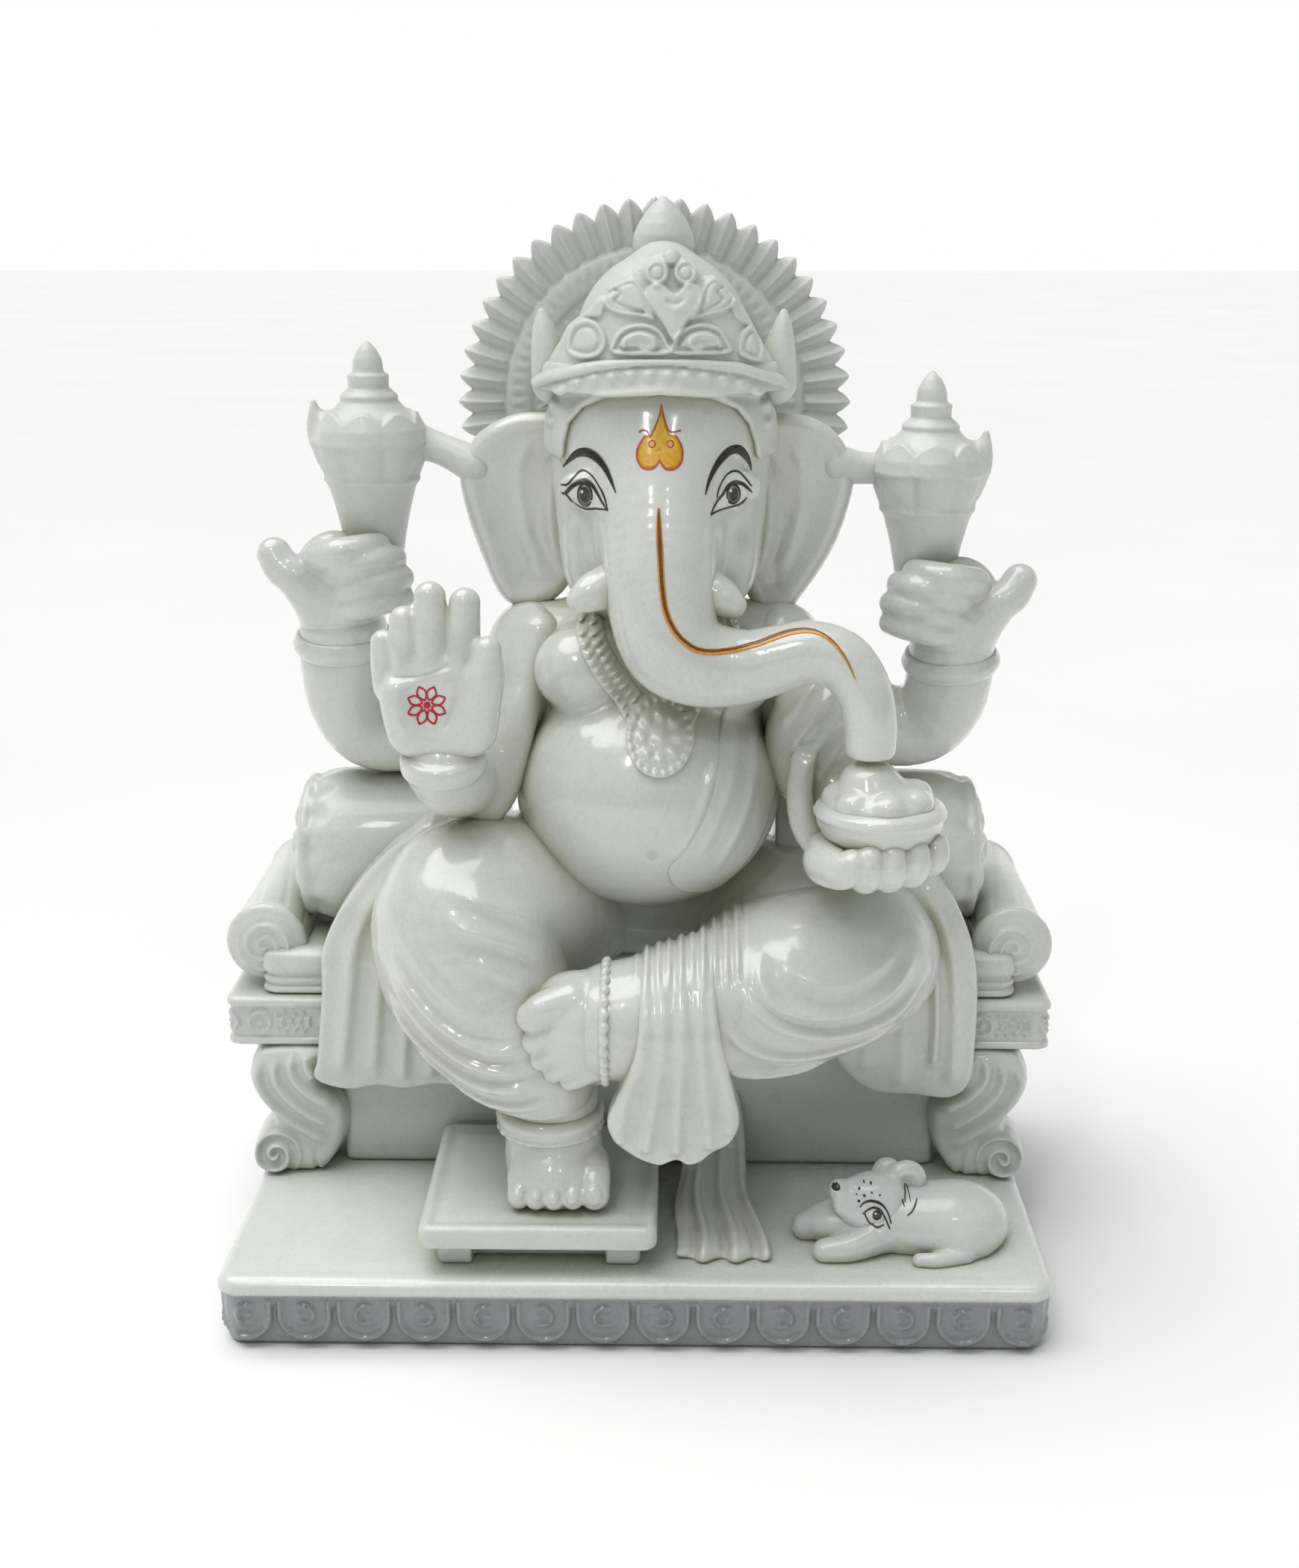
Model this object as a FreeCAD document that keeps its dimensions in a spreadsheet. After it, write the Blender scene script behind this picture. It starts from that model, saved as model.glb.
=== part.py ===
import FreeCAD, Part
import Sketcher
import math
import os
from FreeCAD import Vector, Placement, Rotation

# Seated four-armed ganesha idol on a bolstered throne, cast in white
# marble-dust resin. Millimetres, +Z up, the figure looks along -Y, "left" and
# "right" are as seen from the front (left is -X). The origin is the middle of
# the underside of the plinth.

doc = FreeCAD.newDocument("GaneshaIdol")
dims = doc.addObject("Spreadsheet::Sheet", "Dims")
dim_row = [0]


def dim(alias, value):
    """Write one driving dimension to the sheet and return its reference."""
    dim_row[0] += 1
    dims.set("A%d" % dim_row[0], alias)
    dims.set("B%d" % dim_row[0], "%.4g" % value)
    dims.setAlias("B%d" % dim_row[0], alias)
    return "Dims." + alias


# ---------------------------------------------------------------- primitives
def ellipsoid(name, centre, radii, ypr=(0, 0, 0)):
    o = doc.addObject("Part::Ellipsoid", name)
    o.setExpression("Radius2", dim(name + "_rx", radii[0]))
    o.setExpression("Radius3", dim(name + "_ry", radii[1]))
    o.setExpression("Radius1", dim(name + "_rz", radii[2]))
    o.Placement = Placement(Vector(*centre), Rotation(*ypr))
    return o


def sphere(name, centre, ref, pole=(0, 0, 1)):
    o = doc.addObject("Part::Sphere", name)
    o.setExpression("Radius", ref)
    o.Placement = Placement(Vector(*centre),
                            Rotation(Vector(0, 0, 1), Vector(*pole)))
    return o


def limb(name, stations, pole=(0, 0, 1)):
    """Rounded, tapering run through (x, y, z, radius) stations."""
    parts = []
    refs = [dim("%s_rad_%s" % (name, chr(97 + i)), p[3])
            for i, p in enumerate(stations)]
    for i, p in enumerate(stations):
        parts.append(sphere("%s_ball_%d" % (name, i), p[:3], refs[i],
                            pole))
        if not i:
            continue
        q = stations[i - 1]
        a, b = Vector(*q[:3]), Vector(*p[:3])
        straight = abs(q[3] - p[3]) < 1e-6
        o = doc.addObject("Part::Cylinder" if straight else "Part::Cone",
                          "%s_run_%d" % (name, i))
        if straight:
            o.setExpression("Radius", "%s * 0.985" % refs[i])
        else:
            o.setExpression("Radius1", "%s * 0.985" % refs[i - 1])
            o.setExpression("Radius2", "%s * 0.985" % refs[i])
        o.Height = (b - a).Length
        o.Placement = Placement(a, Rotation(Vector(0, 0, 1), b - a))
        parts.append(o)
    return parts


def ring(name, centre, major, minor, axis):
    o = doc.addObject("Part::Torus", name)
    o.setExpression("Radius1", dim(name + "_major", major))
    o.setExpression("Radius2", dim(name + "_minor", minor))
    o.Placement = Placement(Vector(*centre),
                            Rotation(Vector(0, 0, 1), Vector(*axis)))
    return o


def rod(name, start, radius, length, axis):
    o = doc.addObject("Part::Cylinder", name)
    o.setExpression("Radius", dim(name + "_rad", radius))
    o.setExpression("Height", dim(name + "_len", length))
    o.Placement = Placement(Vector(*start),
                            Rotation(Vector(0, 0, 1), Vector(*axis)))
    return o


def block(name, lo, hi):
    o = doc.addObject("Part::Box", name)
    for prop, axis, size in zip(("Length", "Width", "Height"), "xyz",
                                [b - a for a, b in zip(lo, hi)]):
        o.setExpression(prop, dim("%s_size_%s" % (name, axis), size))
    o.Placement = Placement(Vector(*lo), Rotation())
    return o


def joined(name, parts):
    o = doc.addObject("Part::MultiFuse", name)
    o.Shapes = parts
    o.Refine = False
    return o


def common(name, a, b):
    o = doc.addObject("Part::MultiCommon", name)
    o.Shapes = [a, b]
    return o


def minus(name, base, tool):
    o = doc.addObject("Part::Cut", name)
    o.Base = base
    o.Tool = tool
    return o


# ------------------------------------------------------------ PartDesign help
def plane_of(body, role):
    return [f for f in body.Origin.OriginFeatures if f.Role == role][0]


def polygon(body, name, role, points, offset=0.0):
    """Closed straight-sided sketch; every corner is bound to the sheet."""
    sk = body.newObject("Sketcher::SketchObject", name)
    sk.AttachmentSupport = [(plane_of(body, role), "")]
    sk.MapMode = "FlatFace"
    sk.AttachmentOffset = Placement(Vector(0, 0, offset), Rotation())
    n = len(points)
    for i in range(n):
        a, b = points[i], points[(i + 1) % n]
        sk.addGeometry(Part.LineSegment(Vector(a[0], a[1], 0),
                                        Vector(b[0], b[1], 0)), False)
    for i in range(n):
        sk.addConstraint(Sketcher.Constraint("Coincident", i, 2,
                                             (i + 1) % n, 1))
    for i, (px, py) in enumerate(points):
        for kind, value, axis in (("DistanceX", px, -2), ("DistanceY", py, -1)):
            if abs(value) < 1e-9:
                sk.addConstraint(Sketcher.Constraint("PointOnObject", i, 1,
                                                     axis))
                continue
            c = sk.addConstraint(Sketcher.Constraint(kind, -1, 1, i, 1, value))
            tag = "%s_c%02d_%s" % (name, i, kind[-1].lower())
            sk.renameConstraint(c, tag)
            sk.setExpression("Constraints." + tag, dim(tag, value))
    return sk


def pad(body, name, sketch, length, reverse=False):
    p = body.newObject("PartDesign::Pad", name)
    p.Profile = sketch
    p.setExpression("Length", dim(name + "_length", length))
    p.Reversed = reverse
    sketch.Visibility = False
    return p


def slab_body(name, lo, hi, round_top=0.0, round_side=0.0):
    """Rectangular slab: one padded sketch with rounded edges."""
    body = doc.addObject("PartDesign::Body", name)
    w, d, t = [b - a for a, b in zip(lo, hi)]
    sk = polygon(body, name + "_outline", "XY_Plane",
                 [(0, 0), (w, 0), (w, d), (0, d)])
    p = pad(body, name + "_pad", sk, t)
    doc.recompute()
    last = p
    if round_side:
        edges = ["Edge%d" % (i + 1) for i, e in enumerate(p.Shape.Edges)
                 if abs(e.tangentAt(e.FirstParameter).z) > 0.99]
        f = body.newObject("PartDesign::Fillet", name + "_corner_round")
        f.Base = (p, edges)
        f.setExpression("Radius", dim(name + "_corner_radius", round_side))
        doc.recompute()
        last = f
    if round_top:
        top = last.Shape.BoundBox.ZMax
        bottom = last.Shape.BoundBox.ZMin
        edges = ["Edge%d" % (i + 1) for i, e in enumerate(last.Shape.Edges)
                 if e.BoundBox.ZLength < 1e-6
                 and min(abs(e.BoundBox.ZMax - top),
                         abs(e.BoundBox.ZMax - bottom)) < 1e-6]
        g = body.newObject("PartDesign::Fillet", name + "_edge_round")
        g.Base = (last, edges)
        g.setExpression("Radius", dim(name + "_edge_radius", round_top))
        doc.recompute()
        last = g
    body.Tip = last
    body.Placement = Placement(Vector(*lo), Rotation())
    return body


def turned_body(name, profile, centre, axis=(0, 0, 1)):
    """Turned piece: (radius, height) profile about the body's own Z."""
    body = doc.addObject("PartDesign::Body", name)
    sk = polygon(body, name + "_profile", "XZ_Plane", profile)
    rev = body.newObject("PartDesign::Revolution", name + "_turn")
    rev.Profile = sk
    rev.ReferenceAxis = (sk, ["V_Axis"])
    rev.Angle = 360
    sk.Visibility = False
    body.Tip = rev
    body.Placement = Placement(Vector(*centre),
                               Rotation(Vector(0, 0, 1), Vector(*axis)))
    return body


def front_prism(name, points, y_back, depth):
    """Flat panel facing -Y: (x, z) outline, from y_back forward by depth."""
    x0 = min(p[0] for p in points)
    z0 = min(p[1] for p in points)
    body = doc.addObject("PartDesign::Body", name)
    sk = polygon(body, name + "_outline", "XZ_Plane",
                 [(p[0] - x0, p[1] - z0) for p in points])
    body.Tip = pad(body, name + "_pad", sk, depth)
    body.Placement = Placement(Vector(x0, y_back, z0), Rotation())
    return body


raw = {}
order = []


def piece(node, shape):
    raw[node] = shape
    order.append(node)


# -------------------------------------------------------------------- plinth
# Rectangular plinth with rounded top edge, an undercut lower edge and a row
# of lotus petals along the front and both ends.
PLINTH_W, PLINTH_D, PLINTH_H = 230.0, 150.0, 21.5
REL = 1.0
body = doc.addObject("PartDesign::Body", "plinth_body")
sk = polygon(body, "plinth_outline", "XY_Plane",
             [(0, 0), (PLINTH_W - 2 * REL, 0),
              (PLINTH_W - 2 * REL, PLINTH_D - 2 * REL),
              (0, PLINTH_D - 2 * REL)])
p = pad(body, "plinth_pad", sk, PLINTH_H)
doc.recompute()
edges = ["Edge%d" % (i + 1) for i, e in enumerate(p.Shape.Edges)
         if e.BoundBox.ZLength < 1e-6 and e.BoundBox.ZMax > PLINTH_H - 1e-3]
f = body.newObject("PartDesign::Fillet", "plinth_top_round")
f.Base = (p, edges)
f.setExpression("Radius", dim("plinth_top_radius", 3.0))
doc.recompute()
edges = ["Edge%d" % (i + 1) for i, e in enumerate(f.Shape.Edges)
         if e.BoundBox.ZLength < 1e-6 and e.BoundBox.ZMax < 1e-3]
c = body.newObject("PartDesign::Chamfer", "plinth_foot_bevel")
c.Base = (f, edges)
c.setExpression("Size", dim("plinth_foot_size", 2.0))
doc.recompute()
PETAL = [(0, 12.5), (0, 5.5), (1.6, 2.2), (4.4, 0.4), (7.1, 0), (9.8, 0.4),
         (12.6, 2.2), (14.2, 5.5), (14.2, 12.5)]
PITCH = 16.4
petal_sk = polygon(body, "frieze_petal", "XZ_Plane",
                   [(x + 0.001, z + 3.2) for x, z in PETAL])
petal = pad(body, "frieze_petal_pad", petal_sk, REL)
doc.recompute()
row = body.newObject("PartDesign::LinearPattern", "frieze_row")
row.Originals = [petal]
row.Direction = (plane_of(body, "X_Axis"), [""])
row.Length = 13 * PITCH
row.Occurrences = 14
body.Tip = row
doc.recompute()
end_sk = polygon(body, "end_petal", "YZ_Plane",
                 [(x + 0.001, z + 3.2) for x, z in PETAL])
end_pad = pad(body, "end_petal_pad", end_sk, REL, reverse=True)
doc.recompute()
ends = body.newObject("PartDesign::LinearPattern", "end_row_left")
ends.Originals = [end_pad]
ends.Direction = (plane_of(body, "Y_Axis"), [""])
ends.Length = 8 * PITCH
ends.Occurrences = 9
body.Tip = ends
doc.recompute()
end_sk = polygon(body, "end_petal_far", "YZ_Plane",
                 [(x + 0.001, z + 3.2) for x, z in PETAL],
                 offset=PLINTH_W - 2 * REL)
end_pad = pad(body, "end_petal_far_pad", end_sk, REL)
doc.recompute()
far = body.newObject("PartDesign::LinearPattern", "end_row_right")
far.Originals = [end_pad]
far.Direction = (plane_of(body, "Y_Axis"), [""])
far.Length = 8 * PITCH
far.Occurrences = 9
body.Tip = far
doc.recompute()
back_sk = polygon(body, "back_petal", "XZ_Plane",
                  [(x + 0.001, z + 3.2) for x, z in PETAL],
                  offset=-(PLINTH_D - 2 * REL))
back_pad = pad(body, "back_petal_pad", back_sk, REL, reverse=True)
doc.recompute()
back = body.newObject("PartDesign::LinearPattern", "back_row")
back.Originals = [back_pad]
back.Direction = (plane_of(body, "X_Axis"), [""])
back.Length = 13 * PITCH
back.Occurrences = 14
body.Tip = back
body.Placement = Placement(Vector(-PLINTH_W / 2 + REL, -PLINTH_D / 2 + REL, 0),
                           Rotation())
piece("plinth", body)

# -------------------------------------------------------------------- throne
piece("throne_panel", slab_body("panel_body", (-90, -8, 21.5),
                                (90, 60, 62), 0, 2.0))


def throne_leg(node, x, y, turn):
    """Bulging, waisted leg with a paw foot, lofted through oval sections."""
    sections = []
    for i, (z, rx, ry, dx, dy) in enumerate(
            [(21.5, 10.5, 9.5, 0.5, -2.5), (27, 10.0, 8.5, 0.3, -1.5),
             (34, 10.2, 8.0, -0.5, 0), (46, 15.0, 10.5, 0.8, 0),
             (55, 15.5, 11.0, 0.4, 0), (62, 13.0, 10.5, 0.2, 0)]):
        e = doc.addObject("Part::Ellipse", "%s_section_%d" % (node, i))
        e.setExpression("MajorRadius", dim("%s_major_%s" % (node, "abcdef"[i]), rx))
        e.setExpression("MinorRadius", dim("%s_minor_%s" % (node, "abcdef"[i]), ry))
        e.Placement = Placement(Vector(x + dx * turn, y + dy, z), Rotation())
        sections.append(e)
    loft = doc.addObject("Part::Loft", node + "_loft")
    loft.Sections = sections
    loft.Solid = True
    loft.Ruled = False
    return loft


for node, x, y, turn in (("throne_leg_front_left", -101.5, -4.5, -1),
                         ("throne_leg_front_right", 101.5, -4.5, 1),
                         ("throne_leg_rear_left", -101.5, 55, -1),
                         ("throne_leg_rear_right", 101.5, 55, 1)):
    piece(node, throne_leg(node, x, y, turn))

piece("seat_slab", slab_body("slab_body", (-122.5, -13, 62),
                             (122.5, 66, 78), 1.2, 3.0))
piece("seat_mattress", slab_body("mattress_body", (-112, -11, 78),
                                 (112, 64, 92), 3.0, 4.0))
for node, x in (("armrest_roll_left", -110.5), ("armrest_roll_right", 110.5)):
    roll = turned_body(node + "_body",
                       [(0, 0), (4, 0), (4, 1.2), (7, 1.2), (7, 0.4), (10, 0.4),
                        (11.5, 2.4), (11.5, 69), (9, 71), (0, 71)],
                       (x, -8, 92.5), (0, 1, 0))
    piece(node, roll)
for node, x, way in (("bolster_left", -106, 1), ("bolster_right", 106, -1)):
    b = turned_body(node + "_body",
                    [(0, 0), (5, 0), (6, 1.6), (9, 1.2), (14, 1.6), (15, 3.4),
                     (20, 4.0), (23.2, 7.5), (24, 12), (24, 62), (22, 66),
                     (0, 66)],
                    (x, 17, 116), (way, 0, 0))
    piece(node, b)

# ----------------------------------------------------------------- footstool
piece("footstool_base", slab_body("stool_base_body", (-54.5, -66, 21.5),
                                  (2.0, -8.2, 29), 0, 2.0))
piece("footstool_top", slab_body("stool_top_body", (-59, -71, 29),
                                 (6.5, -8.2, 36), 2.0, 3.0))

# ---------------------------------------------------------------------- halo
# Dished disc behind the head, ringed by pointed petals.
HX, HZ, HR, HY = 4.2, 247.0, 57.5, 40.0
body = doc.addObject("PartDesign::Body", "halo_body")
sk = body.newObject("Sketcher::SketchObject", "halo_disc")
sk.AttachmentSupport = [(plane_of(body, "XZ_Plane"), "")]
sk.MapMode = "FlatFace"
sk.addGeometry(Part.Circle(Vector(0, 0, 0), Vector(0, 0, 1), 53.0), False)
sk.addConstraint(Sketcher.Constraint("Coincident", 0, 3, -1, 1))
c = sk.addConstraint(Sketcher.Constraint("Radius", 0, 53.0))
sk.renameConstraint(c, "disc_radius")
sk.setExpression("Constraints.disc_radius", dim("halo_disc_radius", 53.0))
disc = pad(body, "halo_disc_pad", sk, 5.0)
doc.recompute()
half = math.radians(4.5)
ray = polygon(body, "halo_ray", "XZ_Plane",
              [(50.0 * math.cos(-half), 50.0 * math.sin(-half)),
               (53.6 * math.cos(-half), 53.6 * math.sin(-half)),
               (HR - 1.2, -1.5), (HR, 0), (HR - 1.2, 1.5),
               (53.6 * math.cos(half), 53.6 * math.sin(half)),
               (50.0 * math.cos(half), 50.0 * math.sin(half))])
ray_pad = pad(body, "halo_ray_pad", ray, 4.4)
doc.recompute()
rays = body.newObject("PartDesign::PolarPattern", "halo_rays")
rays.Originals = [ray_pad]
rays.Axis = (plane_of(body, "Y_Axis"), [""])
rays.Angle = 360
rays.Occurrences = 40
body.Tip = rays
doc.recompute()
sk = body.newObject("Sketcher::SketchObject", "halo_band")
sk.AttachmentSupport = [(plane_of(body, "XZ_Plane"), "")]
sk.MapMode = "FlatFace"
for i, (alias, r) in enumerate((("halo_band_outer", 43.0),
                                ("halo_band_inner", 39.5))):
    sk.addGeometry(Part.Circle(Vector(0, 0, 0), Vector(0, 0, 1), r), False)
    sk.addConstraint(Sketcher.Constraint("Coincident", i, 3, -1, 1))
    c = sk.addConstraint(Sketcher.Constraint("Radius", i, r))
    sk.renameConstraint(c, alias)
    sk.setExpression("Constraints." + alias, dim(alias, r))
band = pad(body, "halo_band_pad", sk, 6.4)
body.Tip = band
body.Placement = Placement(Vector(HX, HY, HZ), Rotation())
piece("halo", body)

# ------------------------------------------------------------- seated figure
piece("torso", joined("torso_raw", [
    ellipsoid("belly", (3, -11, 143), (37, 34, 34)),
    ellipsoid("chest", (5, 2, 175), (33, 24, 22)),
    ellipsoid("back", (4, 13, 150), (36, 23, 42)),
    ellipsoid("hips", (4, 9, 106), (54, 28, 22)),
] + limb("shoulders", [(-30, 6, 182, 13), (39, 6, 182, 13)])))

piece("head", joined("head_raw", [
    ellipsoid("cranium", (6.5, 4, 240), (31.2, 29, 28)),
    ellipsoid("face", (6.5, -10, 224), (28.6, 22, 25)),
] + limb("neck", [(5, 4, 188, 19), (6.3, 0, 210, 24)])))

piece("trunk", joined("trunk_raw", limb("trunk", [
    (6.3, -28, 226, 17), (6.5, -34, 203, 15), (11, -37, 187, 13),
    (29, -38, 184.5, 9.8), (46, -40, 189, 8.2), (57, -42, 184, 7.8),
    (62, -45, 173, 7), (62, -46, 167, 6.8)])))

for node, x1, x2, y2, z2 in (("tusk_left", -5, -14, -35, 199.5),
                             ("tusk_right", 17, 25, -33, 197.5)):
    piece(node, joined(node + "_raw", limb(node, [
        (x1, -32, 206, 5.0), (x2, y2, z2, 2.6)])))

for node, s, cx in (("ear_left", -1, 6.0), ("ear_right", 1, 6.5)):
    lobes = joined(node + "_lobes", [
        ellipsoid(node + "_upper", (cx + s * 37.5, 8, 226), (17, 5.2, 20),
                  (s * 16, 0, 0)),
        ellipsoid(node + "_lower", (cx + s * 35.5, 7, 210), (14.5, 5.0, 18),
                  (s * 16, 0, 0)),
        ellipsoid(node + "_root", (cx + s * 26, 5, 222), (9, 7, 22))])
    dish = ellipsoid(node + "_dish", (cx + s * 37.5, 1.5, 222),
                     (12.5, 4.6, 19), (s * 16, 0, 0))
    piece(node, minus(node + "_raw", lobes, dish))

# --------------------------------------------------------------------- crown
piece("crown_band", common(
    "crown_band_raw",
    ellipsoid("band_oval", (6.3, 1, 251), (36.0, 33.0, 17)),
    block("band_slice", (-35, -40, 246.5), (48, 40, 257))))
piece("crown", joined("crown_raw", [
    common("crown_bowl_upper",
           ellipsoid("crown_bowl", (6.5, 0, 257), (32.5, 29, 16.5)),
           block("crown_bowl_slice", (-35, -40, 256), (48, 40, 290))),
] + limb("crown_peak", [(8, -19, 262, 11.5), (9.2, -10, 279, 8),
                        (9.5, -4, 289.2, 2.4)])))
piece("crown_dome", joined("crown_dome_raw", [
    ellipsoid("dome", (7, 11, 263), (26, 24, 28)),
] + limb("dome_neck", [(7, 16, 280, 8.5), (7, 20.5, 284, 6.5)])))
for node, x0, x1 in (("crown_leaf_left", -17, -24.6), ("crown_leaf_right", 30, 38.2)):
    piece(node, joined(node + "_raw", limb(node, [
        (x0, -3, 262, 10), ((x0 + x1) / 2, 0, 268, 6.5), (x1, 2, 273, 2.7)])))
piece("crown_finial", ellipsoid("finial_bud", (7, 21, 295), (8.5, 8.5, 9.5)))

# ----------------------------------------------------------------- rear arms
for node, pts in (
        ("rear_arm_left", [(-33, 13, 178, 12.5), (-81, 16, 155, 13),
                           (-85.5, 10, 178, 12.2), (-85.5, 8, 184, 12.4)]),
        ("rear_arm_right", [(42, 13, 178, 12.5), (84, 16, 156, 13),
                            (90, 10, 173, 12.2), (90.5, 8, 180, 12.4)])):
    piece(node, joined(node + "_raw", limb(node, pts)))
piece("rear_bangle_left", ring("rear_bangle_left_raw", (-85.5, 9, 180.8), 12.0,
                               2.8, (0, -0.25, 1)))
piece("rear_bangle_right", ring("rear_bangle_right_raw", (90.3, 9, 176), 11.2,
                                2.8, (0, -0.25, 1)))

# Bud-topped vessels that the rear hands hold up.
for node, cx, cy, dz in (("lotus_bud_left", -75.5, 11, 0),
                         ("lotus_bud_right", 82.0, 11, -8)):
    piece(node, turned_body(node + "_body", [
        (0, 0), (6.5, 0), (6.0, 15), (9.5, 20), (14.5, 26), (16.2, 32),
        (14.5, 37), (10, 41), (6.5, 44), (5.0, 47), (6.2, 50), (6.0, 53),
        (3.6, 57.5), (1.2, 59.2), (0, 59.2)], (cx, cy, 206.8 + dz)))

for node, s, cx, cz in (("rear_hand_left", -1, -85.5, 196),
                        ("rear_hand_right", 1, 90.5, 189)):
    piece(node, joined(node + "_raw", [
        ellipsoid(node + "_palm", (cx, 6, cz), (14, 10, 13.5)),
    ] + limb(node + "_thumb", [(cx + s * 9, 3, cz + 2, 5.5),
                               (cx + s * 14, 4, cz + 11, 4.0)])
      + limb(node + "_fingers", [(cx - s * 6, 0, cz + 4, 7.0),
                                 (cx - s * 12, 2, cz + 13, 5.5)])))

# Short casting bridges between the vessels and the ears.
piece("strut_left", joined("strut_left_raw", limb(
    "strut_left", [(-60, 10, 236.5, 5.6), (-45, 9, 233.5, 5.4)])))
piece("strut_right", joined("strut_right_raw", limb(
    "strut_right", [(69, 10, 230, 5.4), (55, 9, 231, 5.4)])))

# ---------------------------------------------------------------- front arms
piece("blessing_arm", joined("blessing_arm_raw", limb("blessing_arm", [
    (-31, 2, 181, 12.5), (-44, -14, 150, 11.5), (-51, -37, 158, 10)])))
piece("blessing_hand", joined("blessing_hand_raw", [
    ellipsoid("blessing_palm", (-52, -39, 174), (15.6, 7.2, 19)),
] + limb("blessing_index", [(-45, -38.5, 185, 4.4), (-44.6, -35.5, 201.6, 4.0)],
         (1, 0, 0))
  + limb("blessing_middle", [(-53, -38.5, 186, 4.5), (-53.4, -35.5, 203, 4.1)],
         (1, 0, 0))
  + limb("blessing_ring", [(-60, -38.5, 184, 4.3), (-60.2, -35.5, 196.6, 4.0)],
         (1, 0, 0))
  + limb("blessing_little", [(-65, -38.5, 179, 3.9), (-66, -36, 191, 3.6)],
         (1, 0, 0))
  + limb("blessing_thumb", [(-41, -41, 176, 4.9), (-38, -40, 187.5, 3.9)],
         (1, 0, 0))))
piece("sweet_arm", joined("sweet_arm_raw", limb("sweet_arm", [
    (41, 2, 181, 13), (53, -10, 150, 13), (61, -34, 139, 10)])))
piece("sweet_hand", joined("sweet_hand_raw", [
    ellipsoid("sweet_palm", (64, -45, 135.5), (15.5, 13.5, 7.0)),
] + limb("sweet_thumb", [(53, -48, 135, 5.5), (50.5, -55, 140, 4.6)])
  + limb("sweet_finger_a", [(61, -54, 134, 4.6), (60, -58.5, 139.5, 4.0)])
  + limb("sweet_finger_b", [(69, -53, 134, 4.6), (68.6, -58, 139.5, 4.0)])
  + limb("sweet_finger_c", [(76, -50, 135, 4.6), (76.5, -55, 140, 4.0)])))
piece("sweet_bowl", turned_body("sweet_bowl_body", [
    (0, 0), (10, 0), (13.5, 2.5), (16.5, 7), (17.6, 11), (16.6, 12.2),
    (0, 12.2)], (65.4, -46, 137.2)))
piece("sweets", joined("sweets_raw", [
    ellipsoid("sweet_heap", (65, -46, 149.2), (14.5, 14, 10)),
    ellipsoid("sweet_top", (62.2, -46.5, 156.5), (7.0, 7.0, 6.5))]))

# ---------------------------------------------------------------------- legs
piece("hanging_leg", joined("hanging_leg_raw", limb("hanging_leg", [
    (-18, 4, 108, 22), (-46.5, -31, 112, 26.5), (-28, -44.5, 79, 17.6)])))
piece("hanging_anklet", ring("hanging_anklet_raw", (-24, -43, 55.5), 12.3, 2.9,
                             (0, 0, 1)))
piece("hanging_foot", joined("hanging_foot_raw", [
    ellipsoid("hanging_instep", (-23, -49, 41), (15, 17, 8.5)),
] + limb("hanging_ankle", [(-24, -43, 60, 13), (-24, -43, 44, 12)])))
piece("folded_leg", joined("folded_leg_raw", limb("folded_leg", [
    (22, 5, 105, 19.5), (64.3, -18.5, 97, 23.2), (33, -42.6, 93, 20.6),
    (3, -50, 87.5, 16.4)], (0, 1, 0))))
piece("folded_anklet", ring("folded_anklet_raw", (-6, -51.5, 86.5), 15.2, 2.8,
                            (-1, -0.1, 0.06)))
piece("folded_foot", joined("folded_foot_raw", [
    ellipsoid("folded_sole", (-15, -52.5, 87), (16.5, 9.5, 17), (0, 90, 0)),
] + limb("folded_toes", [(-20, -54, 92, 8), (-27.5, -57, 92.5, 5)],
         (1, 0, 0))))

# -------------------------------------------------------------- cloth pieces
piece("necklace", common(
    "necklace_raw",
    ellipsoid("necklace_shell", (5, 0, 175), (35, 26.5, 24)),
    front_prism("necklace_outline", [
        (-13, 190), (-10, 180), (-2, 166), (4, 156), (8, 154.5), (12, 156),
        (15, 166), (22, 180), (25, 190), (15, 192), (-3, 192)], 10, 70)))
piece("sash", common(
    "sash_raw",
    joined("sash_shell", [
        ellipsoid("sash_belly_shell", (3, -11, 143), (38.6, 36, 35.6)),
        ellipsoid("sash_chest_shell", (5, 1, 175), (34.6, 26, 24))]),
    front_prism("sash_outline", [
        (30, 176), (22, 158), (14, 142), (10, 130), (5, 121), (13, 119),
        (20, 128), (24, 140), (32, 156), (40, 170)], -4, 60)))
piece("front_pleat", front_prism("front_pleat_body", [
    (2, 112), (1, 89), (-3, 75), (-6.5, 64), (-2, 54), (10, 50.5), (20, 51.5),
    (28, 56), (29, 64), (27, 88), (24.5, 110), (12, 116)], -57, 10))
piece("drape_left", front_prism("drape_left_body", [
    (-57, 128), (-70, 122), (-82, 108), (-90, 88), (-95, 56), (-86, 53),
    (-70, 52.5), (-58, 54), (-52, 90)], -11, 12))
piece("drape_right", front_prism("drape_right_body", [
    (72, 116), (84, 114), (95, 97), (99, 76), (101, 56), (90, 50),
    (74, 48), (60, 53), (58, 90)], -11, 12))

# Cloth end that falls from the throne on to the plinth.
body = doc.addObject("PartDesign::Body", "floor_drape_body")
sk = polygon(body, "floor_drape_section", "YZ_Plane",
             [(0, 0), (53, 0), (57.8, 0), (57.8, 28), (53, 26), (46, 12),
              (30, 6.5), (12, 4.5), (2, 3)])
body.Tip = pad(body, "floor_drape_pad", sk, 25)
body.Placement = Placement(Vector(12, -66, 21.5), Rotation())
piece("floor_drape", body)

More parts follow.
